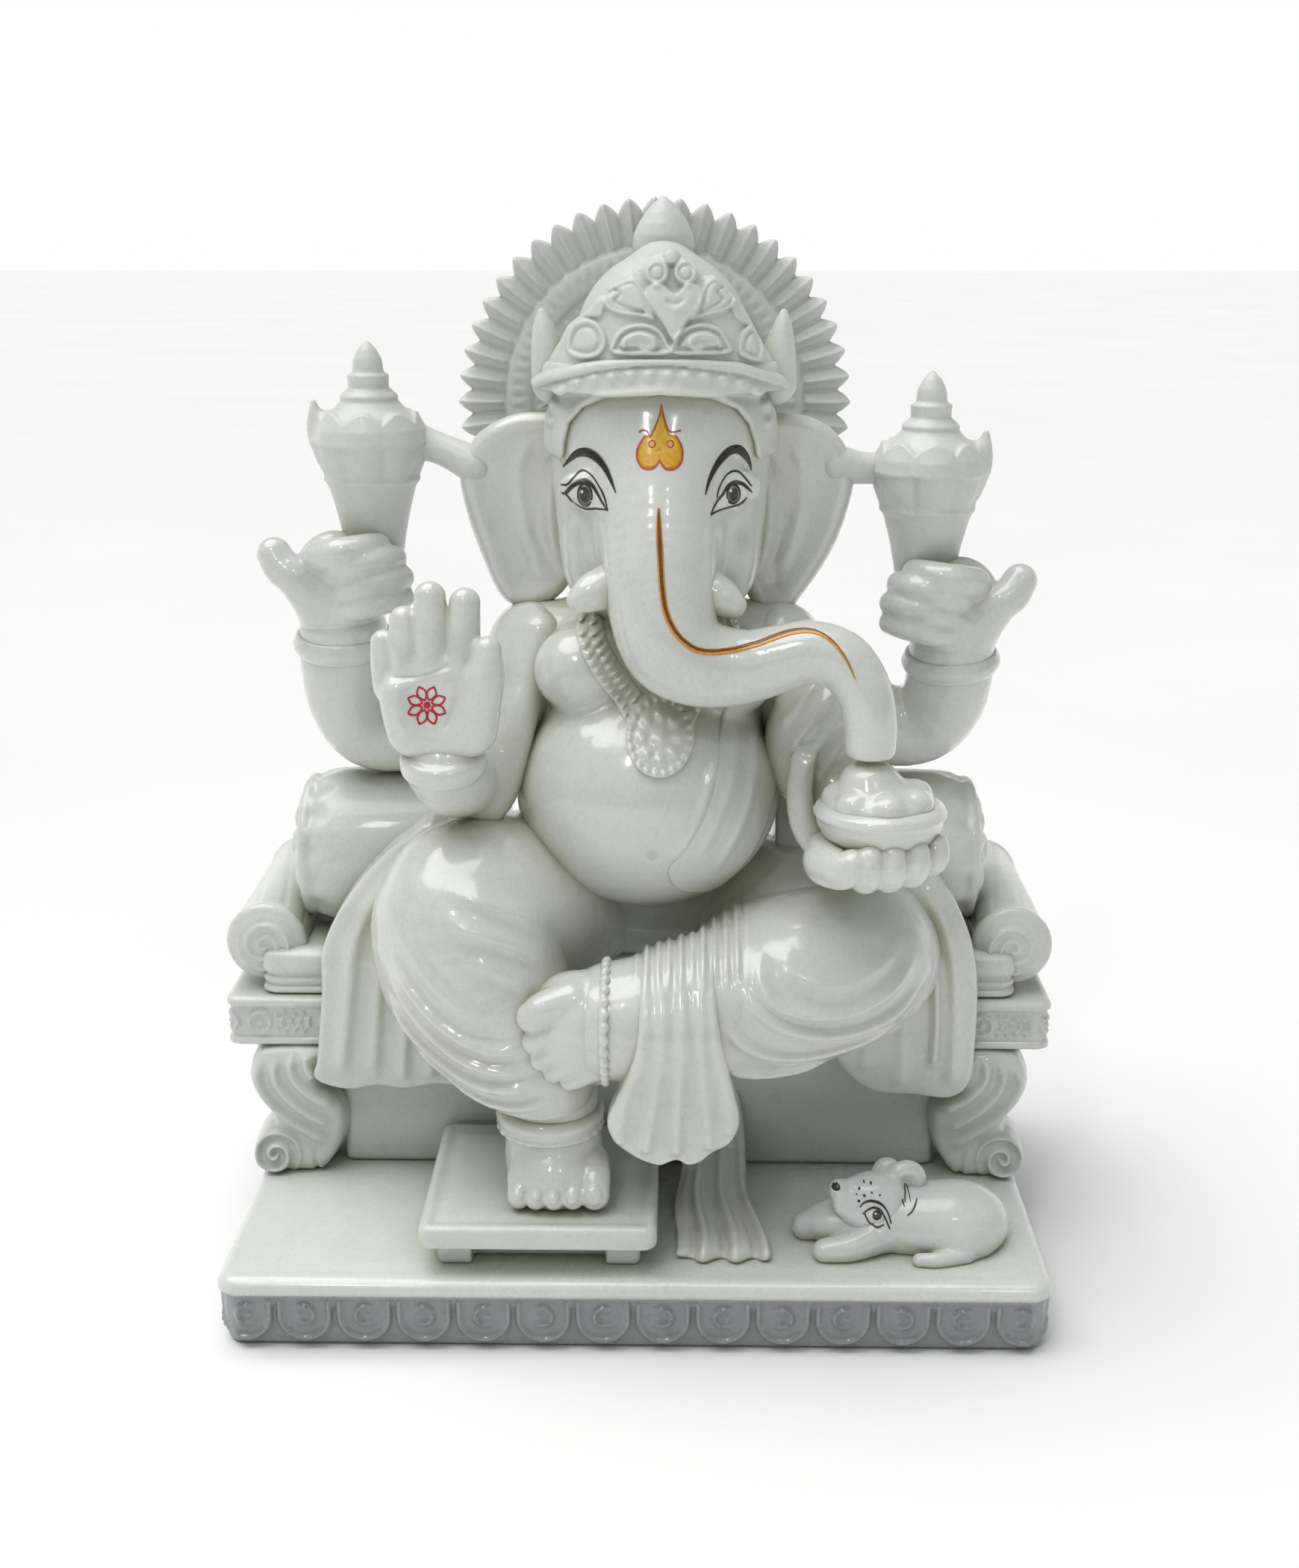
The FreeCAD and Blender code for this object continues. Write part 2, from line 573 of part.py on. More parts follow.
# --------------------------------------------------------------------- mouse
piece("mouse_body", joined("mouse_body_raw", [
    ellipsoid("mouse_barrel", (84, -50, 28), (19, 13, 11)),
    ellipsoid("mouse_rump", (95, -48, 26), (11, 12, 9)),
] + limb("mouse_forelegs", [(72, -53, 26.5, 5), (60, -55, 25.5, 4),
                             (50, -60, 24.5, 3)])))
piece("mouse_head", joined("mouse_head_raw", [
    ellipsoid("mouse_skull", (66, -50, 34), (10.5, 9, 8.5)),
    ellipsoid("mouse_ear_near", (75, -46, 39), (4.5, 2.5, 5)),
] + limb("mouse_snout", [(61, -51.5, 33.5, 5.5), (54.5, -53.5, 35, 2.6)])))

doc.recompute()

# ------------------------------------------------------ fit the pieces together
# Every piece keeps its whole shape against the pieces after it in this list
# and is trimmed where it meets the pieces before it, so neighbours meet face
# to face.
rank = ["plinth", "throne_panel", "throne_leg_front_left",
        "throne_leg_front_right", "throne_leg_rear_left",
        "throne_leg_rear_right", "seat_slab", "seat_mattress",
        "armrest_roll_left", "armrest_roll_right", "bolster_left",
        "bolster_right", "footstool_base", "footstool_top", "halo", "torso",
        "head", "crown_band", "crown", "crown_dome", "crown_leaf_left",
        "crown_leaf_right", "crown_finial", "trunk", "tusk_left", "tusk_right",
        "ear_left", "ear_right", "rear_arm_left", "rear_arm_right",
        "lotus_bud_left", "lotus_bud_right", "rear_hand_left",
        "rear_hand_right", "rear_bangle_left", "rear_bangle_right",
        "strut_left", "strut_right", "hanging_leg", "folded_leg",
        "hanging_foot", "folded_foot", "hanging_anklet", "folded_anklet",
        "blessing_arm", "blessing_hand", "sweet_bowl", "sweets", "sweet_arm",
        "sweet_hand", "necklace", "sash", "front_pleat", "drape_left",
        "drape_right", "mouse_head", "mouse_body", "floor_drape"]
assert sorted(rank) == sorted(order), set(rank) ^ set(order)

final = {}
for i, node in enumerate(rank):
    current = raw[node]
    for other in rank[:i]:
        b1, b2 = current.Shape.BoundBox, final[other].Shape.BoundBox
        if not b1.intersect(b2):
            continue
        if current.Shape.common(final[other].Shape).Volume < 1e-4:
            continue
        cut = minus("%s_less_%s" % (node, other), current, final[other])
        doc.recompute([cut])
        if cut.Shape.isNull() or not cut.Shape.Solids:
            raise RuntimeError("nothing left of %s against %s" % (node, other))
        current = cut
    final[node] = current

doc.recompute()

# ---------------------------------------------------------------- final nodes
bad = [o.Name for o in doc.Objects
       if "Invalid" in o.State or "Error" in o.State]
for node in rank:
    o = final[node]
    o.Label = node
    s = o.Shape
    if s.isNull() or not s.isValid():
        bad.append(node)
    elif len(s.Solids) != 1:
        print("solids", node, len(s.Solids), [round(q.Volume, 2) for q in s.Solids])
if bad:
    raise RuntimeError("failed objects: %s" % ", ".join(bad))

os.makedirs("parts", exist_ok=True)
for node in rank:
    final[node].Shape.exportStep("parts/%s.step" % node)

everything = Part.makeCompound([final[n].Shape for n in rank]).BoundBox
print("pieces", len(rank))
print("box", [round(v, 3) for v in (everything.XMin, everything.XMax,
                                   everything.YMin, everything.YMax,
                                   everything.ZMin, everything.ZMax)])
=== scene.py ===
import bpy
import math
import numpy as np
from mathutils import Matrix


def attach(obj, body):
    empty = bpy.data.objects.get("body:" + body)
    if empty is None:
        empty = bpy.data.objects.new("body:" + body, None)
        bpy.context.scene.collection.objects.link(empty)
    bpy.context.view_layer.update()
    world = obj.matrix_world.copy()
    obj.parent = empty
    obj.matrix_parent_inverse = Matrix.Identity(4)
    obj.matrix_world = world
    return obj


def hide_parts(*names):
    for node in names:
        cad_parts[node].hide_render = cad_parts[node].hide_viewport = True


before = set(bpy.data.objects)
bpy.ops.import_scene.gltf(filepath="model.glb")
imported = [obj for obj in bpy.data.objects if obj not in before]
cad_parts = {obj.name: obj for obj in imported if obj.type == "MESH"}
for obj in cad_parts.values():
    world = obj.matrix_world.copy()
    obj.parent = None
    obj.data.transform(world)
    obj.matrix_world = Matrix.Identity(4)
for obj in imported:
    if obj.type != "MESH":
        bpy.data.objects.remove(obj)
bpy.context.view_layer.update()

from concurrent.futures import ThreadPoolExecutor
from mathutils import Vector
from mathutils.bvhtree import BVHTree

FINE = 1.15
MM = 0.001
f32 = np.float32

# ======================================================================
# Distance-field sculpting, in millimetres, meshed with surface nets
# ======================================================================


def A(*v):
    return np.array(v, dtype=f32)


def smin(a, b, k):
    if k <= 0:
        return np.minimum(a, b)
    h = np.maximum(k - np.abs(a - b), 0) / k
    return np.minimum(a, b) - h * h * (k * 0.25)


def smax(a, b, k):
    return -smin(-a, -b, k)


def rotm(ax, ay, az):
    """Rotation matrix from degrees about X, then Y, then Z."""
    ax, ay, az = map(math.radians, (ax, ay, az))
    cx, sx, cy, sy, cz, sz = (math.cos(ax), math.sin(ax), math.cos(ay),
                              math.sin(ay), math.cos(az), math.sin(az))
    rx = np.array([[1, 0, 0], [0, cx, -sx], [0, sx, cx]])
    ry = np.array([[cy, 0, sy], [0, 1, 0], [-sy, 0, cy]])
    rz = np.array([[cz, -sz, 0], [sz, cz, 0], [0, 0, 1]])
    return (rz @ ry @ rx).astype(f32)


def loc(P, c, R=None):
    Q = P - A(*c)
    if R is not None:
        Q = Q @ R          # world -> local is R^T q, as rows q @ R
    return Q


def ell(P, c, r, R=None):
    Q = loc(P, c, R)
    r = A(*r)
    k0 = np.sqrt(((Q / r) ** 2).sum(1))
    k1 = np.sqrt(((Q / (r * r)) ** 2).sum(1)) + 1e-9
    return k0 * (k0 - 1.0) / k1


def cap(P, a, b, ra, rb):
    """Tapered capsule between two balls."""
    a, b = A(*a), A(*b)
    ba = b - a
    l2 = float((ba * ba).sum())
    t = np.clip(((P - a) @ ba) / l2, 0, 1)
    d = P - a - t[:, None] * ba
    return np.sqrt((d * d).sum(1)) - (ra + (rb - ra) * t)


def limb(P, pts, k=0.0):
    d = None
    for p, q in zip(pts[:-1], pts[1:]):
        e = cap(P, p[:3], q[:3], p[3], q[3])
        d = e if d is None else smin(d, e, k)
    return d


def catmull(pts, n=8):
    """Smooth resample of a list of tuples (any number of values each)."""
    p = np.array(pts, dtype=float)
    p = np.vstack([2 * p[0] - p[1], p, 2 * p[-1] - p[-2]])
    out = []
    for i in range(1, len(p) - 2):
        for j in range(n):
            t = j / n
            out.append(0.5 * ((2 * p[i]) + (-p[i - 1] + p[i + 1]) * t
                              + (2 * p[i - 1] - 5 * p[i] + 4 * p[i + 1] - p[i + 2]) * t * t
                              + (-p[i - 1] + 3 * p[i] - 3 * p[i + 1] + p[i + 2]) * t ** 3))
    out.append(p[-2])
    return np.array(out)


def tube(P, pts, n=6):
    """Smooth tube through (x, y, z, r) points."""
    return limb(P, catmull(pts, n))


def rbox(P, c, half, r=0.0, R=None):
    Q = np.abs(loc(P, c, R)) - (A(*half) - r)
    o = np.maximum(Q, 0)
    return np.sqrt((o * o).sum(1)) + np.minimum(Q.max(1), 0) - r


def cyl(P, c, r, half, axis=2, rr=0.0, R=None, flat=1.0):
    """Cylinder about a local axis, with rounded rims."""
    Q = loc(P, c, R)
    o = [i for i in range(3) if i != axis]
    rad = np.sqrt(Q[:, o[0]] ** 2 + (Q[:, o[1]] / flat) ** 2) - (r - rr)
    h = np.abs(Q[:, axis]) - (half - rr)
    return (np.minimum(np.maximum(rad, h), 0)
            + np.sqrt(np.maximum(rad, 0) ** 2 + np.maximum(h, 0) ** 2) - rr)


def torus(P, c, R0, r, axis=2, R=None, flat=1.0):
    Q = loc(P, c, R)
    o = [i for i in range(3) if i != axis]
    rad = np.sqrt(Q[:, o[0]] ** 2 + (Q[:, o[1]] / flat) ** 2) - R0
    return np.sqrt(rad ** 2 + Q[:, axis] ** 2) - r


def plane(P, point, normal):
    n = np.array(normal, dtype=float)
    n /= np.linalg.norm(n)
    return ((P - A(*point)) @ n.astype(f32))


def lathe(P, c, prof, axis=2, R=None):
    """Turned solid from (height, radius) stations, roughly a distance."""
    Q = loc(P, c, R)
    o = [i for i in range(3) if i != axis]
    h = Q[:, axis]
    r = np.sqrt(Q[:, o[0]] ** 2 + Q[:, o[1]] ** 2)
    hs = np.array([p[0] for p in prof])
    rs = np.array([p[1] for p in prof])
    rr = np.interp(h, hs, rs)
    sl = np.interp(h, 0.5 * (hs[1:] + hs[:-1]),
                   np.diff(rs) / np.maximum(np.diff(hs), 1e-6))
    d = (r - rr) / np.sqrt(1 + np.minimum(np.abs(sl), 3.0) ** 2)
    return np.maximum(d, np.maximum(hs[0] - h, h - hs[-1]))


def seg2(X, Z, pts):
    """Distance in a 2-D chart to a polyline, and 0..1 place along it."""
    pts = np.array(pts, dtype=float)
    seg = np.sqrt((np.diff(pts, axis=0) ** 2).sum(1))
    cum = np.concatenate([[0], np.cumsum(seg)])
    best = np.full(X.shape, 1e9, dtype=f32)
    par = np.zeros(X.shape, dtype=f32)
    for i in range(len(seg)):
        ax, az = pts[i]
        bx, bz = pts[i + 1] - pts[i]
        t = np.clip(((X - ax) * bx + (Z - az) * bz) / (seg[i] ** 2 + 1e-9), 0, 1)
        d = (X - ax - t * bx) ** 2 + (Z - az - t * bz) ** 2
        m = d < best
        best = np.where(m, d, best)
        par = np.where(m, (cum[i] + t * seg[i]) / cum[-1], par)
    return np.sqrt(best), par


def ridge(X, Z, pts, w, ends=0.15, n=6, power=2):
    """0..1 soft ridge along a smooth 2-D curve, fading at its ends."""
    c = catmull([(p[0], p[1]) for p in pts], n) if len(pts) > 2 else np.array(pts, float)
    d, t = seg2(X, Z, c)
    if ends > 0:
        fade = np.clip(np.minimum(t, 1 - t) / ends, 0, 1)
        fade = fade * fade * (3 - 2 * fade)
    else:
        fade = 1.0
    return np.exp(-(d / w) ** power) * fade


def step(x, a, b):
    t = np.clip((x - a) / (b - a), 0, 1)
    return t * t * (3 - 2 * t)


POOL = ThreadPoolExecutor(4)


def sample_grid(f, lo, hi, h, slack):
    lo = np.array(lo, float) - 2 * h
    n = np.ceil((np.array(hi, float) + 2 * h - lo) / h).astype(int) + 1
    B = 12
    nb = (n + B - 1) // B
    n = nb * B + 1
    F = np.full(n, 9.0, dtype=f32)
    bi = np.stack(np.meshgrid(*[np.arange(k) for k in nb], indexing="ij"), -1).reshape(-1, 3)
    cen = (lo + (bi * B + B / 2) * h).astype(f32)
    dc = np.concatenate([f(cen[i:i + 40000]) for i in range(0, len(cen), 40000)])
    rad = h * B * 0.5 * math.sqrt(3) * 1.12 + slack
    act = np.abs(dc) < rad
    ar = np.arange(B + 1)
    ox, oy, oz = np.meshgrid(ar, ar, ar, indexing="ij")
    off = np.stack([ox, oy, oz], -1).reshape(-1, 3)
    for b in bi[(dc < 0) & ~act]:
        s = b * B
        F[s[0]:s[0] + B + 1, s[1]:s[1] + B + 1, s[2]:s[2] + B + 1] = -9.0
    blocks = bi[act]

    def work(chunk):
        P = (lo + (chunk[:, None, :] * B + off[None]) * h).astype(f32).reshape(-1, 3)
        return f(P).reshape(len(chunk), B + 1, B + 1, B + 1)

    chunks = [blocks[i:i + 24] for i in range(0, len(blocks), 24)]
    for chunk, vals in zip(chunks, POOL.map(work, chunks)):
        for b, v in zip(chunk, vals):
            s = b * B
            F[s[0]:s[0] + B + 1, s[1]:s[1] + B + 1, s[2]:s[2] + B + 1] = v
    return F, lo


CORN = np.array([[i, j, k] for i in (0, 1) for j in (0, 1) for k in (0, 1)])
EDGES = [(a, b) for a in range(8) for b in range(a + 1, 8)
         if np.abs(CORN[a] - CORN[b]).sum() == 1]


def surface_nets(F, lo, h):
    S = F < 0
    c = [S[i:S.shape[0] - 1 + i, j:S.shape[1] - 1 + j, k:S.shape[2] - 1 + k]
         for i, j, k in CORN]
    anyc = c[0].copy()
    allc = c[0].copy()
    for q in c[1:]:
        anyc |= q
        allc &= q
    act = anyc & ~allc
    cells = np.argwhere(act)
    vid = np.full(act.shape, -1, dtype=np.int32)
    vid[act] = np.arange(len(cells))
    vals = np.stack([F[cells[:, 0] + i, cells[:, 1] + j, cells[:, 2] + k]
                     for i, j, k in CORN], 1)
    acc = np.zeros((len(cells), 3))
    cnt = np.zeros(len(cells))
    for a, b in EDGES:
        va, vb = vals[:, a], vals[:, b]
        m = (va < 0) != (vb < 0)
        t = np.where(m, va / np.where(np.abs(va - vb) < 1e-12, 1, va - vb), 0)
        p = CORN[a] + t[:, None] * (CORN[b] - CORN[a])
        acc += np.where(m[:, None], p, 0)
        cnt += m
    V = lo + (cells + acc / cnt[:, None]) * h
    quads = []
    for ax in range(3):
        u, w = [i for i in range(3) if i != ax]
        sl0 = [slice(None)] * 3
        sl1 = [slice(None)] * 3
        sl0[ax] = slice(0, -1)
        sl1[ax] = slice(1, None)
        a, b = S[tuple(sl0)], S[tuple(sl1)]
        e = np.argwhere(a != b)
        ok = np.ones(len(e), bool)
        for q in (u, w):
            ok &= (e[:, q] > 0) & (e[:, q] < F.shape[q] - 1)
        e = e[ok]
        ins = S[tuple(e.T)]
        g = []
        for du, dw in ((-1, -1), (0, -1), (0, 0), (-1, 0)):
            ce = e.copy()
            ce[:, u] += du
            ce[:, w] += dw
            g.append(vid[tuple(ce.T)])
        g = np.stack(g, 1)
        flip = ins if ax != 1 else ~ins
        g[~flip] = g[~flip][:, ::-1]
        quads.append(g)
    Q = np.concatenate(quads)
    Q = Q[(Q >= 0).all(1)]
    return V, Q


PIECES = {}
ALL = []


def mesh_object(name, V, Q, smooth=True):
    me = bpy.data.meshes.new(name)
    V = np.asarray(V, dtype=f32)
    Q = np.asarray(Q, dtype=np.int32)
    k = Q.shape[1]
    me.vertices.add(len(V))
    me.vertices.foreach_set("co", (V * MM).astype(f32).ravel())
    me.loops.add(Q.size)
    me.loops.foreach_set("vertex_index", Q.ravel())
    me.polygons.add(len(Q))
    me.polygons.foreach_set("loop_start", np.arange(0, Q.size, k, dtype=np.int32))
    me.polygons.foreach_set("loop_total", np.full(len(Q), k, dtype=np.int32))
    me.update(calc_edges=True)
    me.validate()
    if smooth:
        me.polygons.foreach_set("use_smooth", np.ones(len(me.polygons), dtype=bool))
    o = bpy.data.objects.new(name, me)
    bpy.context.scene.collection.objects.link(o)
    return o


def largest_only(V, Q):
    """Drop loose crumbs: keep every shell over 2 % of the biggest one."""
    lab = np.arange(len(V))
    E = np.concatenate([Q[:, [0, 1]], Q[:, [1, 2]], Q[:, [2, 3]]])
    while True:
        m = np.minimum(lab[E[:, 0]], lab[E[:, 1]])
        new = lab.copy()
        np.minimum.at(new, E[:, 0], m)
        np.minimum.at(new, E[:, 1], m)
        new = new[new]
        new = new[new]
        if (new == lab).all():
            break
        lab = new
    ids, inv, num = np.unique(lab, return_inverse=True, return_counts=True)
    if len(ids) == 1:
        return V, Q
    keep = num > 0.02 * num.max()
    kv = keep[inv]
    remap = np.cumsum(kv) - 1
    Q = Q[kv[Q[:, 0]]]
    return V[kv], remap[Q]


def sculpt(name, f, lo, hi, h, nodes, slack=1.0):
    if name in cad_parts:
        name += "_carved"
    import time
    t0 = time.time()
    h = h * FINE
    F, org = sample_grid(f, lo, hi, h, slack)
    V, Q = surface_nets(F, org, h)
    V, Q = largest_only(V, Q)
    # pull the vertices on to the true surface
    P = V.astype(f32)
    d = f(P)
    e = 0.25 * h
    g = np.stack([f(P + A(*(e if i == j else 0 for j in range(3)))) - d
                  for i in range(3)], 1) / e
    g2 = (g * g).sum(1)
    mv = -(d / np.maximum(g2, 0.2))[:, None] * g
    ln = np.sqrt((mv * mv).sum(1))
    mv *= (np.minimum(ln, 0.45 * h) / np.maximum(ln, 1e-9))[:, None]
    V = P + mv
    o = mesh_object(name, V, Q)
    finish_piece(o, nodes)
    round(time.time() - t0, 1)
    return o


def finish_piece(o, nodes):
    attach(o, "root")
    if nodes:
        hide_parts(*nodes)
    PIECES[o.name] = o
    ALL.append(o)
    return o


def poly_sd(X, Z, pts):
    """Signed distance in a 2-D chart to a closed outline, inside negative."""
    d, _ = seg2(X, Z, list(pts) + [pts[0]])
    inside = np.zeros(X.shape, bool)
    n = len(pts)
    for i in range(n):
        x1, z1 = pts[i]
        x2, z2 = pts[(i + 1) % n]
        if z1 == z2:
            continue
        c = ((z1 > Z) != (z2 > Z)) & (X < (x2 - x1) * (Z - z1) / (z2 - z1) + x1)
        inside ^= c
    return np.where(inside, -d, d)


def smooth_loop(pts, n=5):
    """Rounded closed outline through the points."""
    p = np.array(pts, float)
    m = len(p)
    out = []
    for i in range(m):
        a, b, c, d = p[i - 1], p[i], p[(i + 1) % m], p[(i + 2) % m]
        for j in range(n):
            t = j / n
            out.append(tuple(0.5 * (2 * b + (c - a) * t
                                    + (2 * a - 5 * b + 4 * c - d) * t * t
                                    + (3 * b - a - 3 * c + d) * t ** 3)))
    return out


def leaf_relief(X, Z, loop, w=0.9):
    """0..1 raised area with a soft rounded edge."""
    return step(-poly_sd(X, Z, loop), -0.15 * w, w)


# ---------------------------------------------------------------- head, trunk
TRUNK = [(6.3, -10, 238, 15), (6.3, -20, 227, 16.4), (6.4, -28, 213, 15.4),
         (7, -33, 201, 14.4), (10, -36.5, 190.5, 13.4), (18, -37.5, 185.5, 11.6),
         (29, -38, 184.8, 9.9), (38, -39, 187.3, 8.9), (46.5, -40, 189.3, 8.4),
         (54.5, -41.5, 187.2, 8.0), (60, -44, 180, 7.4), (62, -45.5, 171.5, 7.0),
         (62.2, -46, 165.5, 6.7)]
TRUNK_S = catmull(TRUNK, 5)


def f_trunk(P):
    return limb(P, TRUNK_S)


def f_head(P):
    x, y, z = P[:, 0], P[:, 1], P[:, 2]
    d = ell(P, (6.5, 0, 239.5), (30.6, 28.5, 27.5))
    d = smin(d, ell(P, (6.5, -5, 219), (28.4, 22.5, 25)), 9)
    # cheeks and jaw corners either side of the trunk root
    for s in (-1, 1):
        d = smin(d, ell(P, (6.5 + s * 17.5, -13, 207), (8.5, 9, 11)), 7)
        # soft hollow of the eye
        d = smax(d, -ell(P, (6.5 + s * 20.5, -30.5, 229.5), (7.5, 4.2, 6.0)), 5)
        # upper lid swelling
        d = smin(d, ell(P, (6.5 + s * 20, -22.2, 230), (6.8, 4.2, 4.6)), 3)
    d = smin(d, f_trunk(P), 6.5)
    # mouth corners tuck under the trunk root
    neck = cap(P, (5, 4, 188), (6.3, 0, 205), 19, 22)
    d = smin(d, neck, 6)
    # cut off flat where the trunk rests on the sweets
    d = smax(d, -(z - 162.6) - np.where(x > 40, 0, 999), 1.0)
    # rings across the underside of the trunk: the positions are listed, but the loop carves nothing
    for i, (cx, cy, cz, r) in enumerate([(45.5, -40, 189.3, 8.4), (49.5, -40.5, 189, 8.3),
                                         (53.5, -41.2, 187.8, 8.1)]):
        pass
    return d


sculpt("head_and_trunk", f_head, (-28, -56, 160), (72, 32, 268), 0.55,
       ["head", "trunk"])


def tusk(name, pts, node):
    def f(P):
        return smin(tube(P, pts), ell(P, pts[0][:3], (6.2, 5.5, 5.8)), 2.5)
    sculpt(name, f, (-25, -48, 188), (38, -18, 216), 0.4, [node])


tusk("tusk_left", [(-5.0, -29, 205.2, 5.8), (-10.6, -32.6, 203.8, 5.3),
                   (-14.6, -34.8, 202.0, 3.4)], "tusk_left")
tusk("tusk_right", [(17.0, -29, 204.6, 5.8), (22.2, -32.4, 202.6, 5.2),
                    (26.2, -34.4, 200.6, 3.3)], "tusk_right")


# ---------------------------------------------------------------------- ears
def ear(name, s, loop, node):
    cx = 6.3
    def f(P):
        x, y, z = P[:, 0], P[:, 1], P[:, 2]
        sd = poly_sd(x, z, loop)
        # the flap leans back towards its outer rim
        out = s * (x - cx) - 22
        mid = 4.5 + 0.16 * np.maximum(out, 0) + 0.0006 * (z - 220) ** 2
        rim = np.exp(-((sd + 3.0) / 2.6) ** 2)
        dish = step(-sd, 2.5, 16)
        front = mid - 3.4 - 0.7 * rim + 2.2 * dish
        back = mid + 3.6 - 1.2 * (1 - step(-sd, 0, 7))
        core = np.maximum(front - y, y - back) * 0.93
        d = smax(core, sd * 0.96, 4.2)
        # folds running down the dish
        X, Z = s * (x - cx), z
        w = (ridge(X, Z, [(24, 238), (30, 230), (31, 216), (28, 203)], 2.2)
             + 0.7 * ridge(X, Z, [(36, 241), (40, 230), (38, 214), (32, 200)], 2.0))
        front_only = step(mid - y, -1.5, 1.0)
        return d - 1.35 * w * front_only
    sculpt(name, f, (min(p[0] for p in loop) - 3, -8, 186),
           (max(p[0] for p in loop) + 3, 22, 252), 0.55, [node])


EAR_L = smooth_loop([(-14, 246), (-26, 247), (-35, 246.2), (-43.5, 242), (-48.5, 236),
                     (-50.6, 229), (-49.5, 221), (-47.3, 213), (-44, 204), (-40.5, 196),
                     (-36, 192), (-28, 192), (-20, 198), (-14, 212)])
EAR_R = smooth_loop([(26, 246), (38, 247), (47, 246), (54, 242.5), (59.2, 236),
                     (61, 229), (59.8, 221), (57, 212), (53, 204), (47.5, 196),
                     (43, 191), (35, 191), (30, 198), (26, 212)])
ear("ear_left", -1, EAR_L, "ear_left")
ear("ear_right", 1, EAR_R, "ear_right")


# --------------------------------------------------------------------- crown
RIM = np.array([(-30, 258), (-24, 262), (-20.4, 267), (-18.2, 271.1), (-13.6, 274.4),
                (-9.9, 278.7), (-7.6, 279.2), (-6.9, 281.6), (-2.4, 283.8), (-0.2, 285.9),
                (3.5, 288.8), (7.2, 290.2), (8.7, 291.2), (10.9, 290.2), (14.6, 286.6),
                (17.6, 283.8), (20.6, 284.1), (23.6, 280.9), (25.9, 278.7), (28.9, 275.1),
                (31.2, 271.0), (34, 266), (38, 261), (42, 257)])
CORD = [(-27.6, 256.0), (-25.0, 257.4), (-16.9, 259.9), (-9.5, 261.8), (0.1, 263.1),
        (9.6, 263.4), (19.9, 262.1), (27.2, 260.9), (33.1, 258.8), (38.3, 257.0),
        (40.6, 255.6)]
EDGE = [(-19.3, 236.5), (-19.0, 241), (-17.7, 246.3), (-14.0, 250.6), (-8.1, 253.2),
        (6.7, 254.5), (19.9, 253.2), (26.6, 250.3), (29.9, 246.3), (31.6, 241),
        (32.2, 236.5)]
BEAD_ROW = catmull([(-23.5, 246), (-22.8, 250.5), (-20.2, 254.6), (-16.2, 257.0),
                    (-10, 258.6), (0, 259.6), (10, 259.6), (19, 259.1), (26.5, 257.4),
                    (31.5, 255.0), (35, 251), (36, 246)], 8)


def frustum(P):
    x, y, z = P[:, 0], P[:, 1], P[:, 2]
    t = np.clip((z - 255) / 30, -0.4, 1.2)
    rx = 34.2 - 5.5 * t
    ry = 30.5 - 8.0 * t
    k = np.sqrt(((x - 6.5) / rx) ** 2 + ((y - 1 - 2.5 * t) / ry) ** 2)
    return (k - 1) * ry


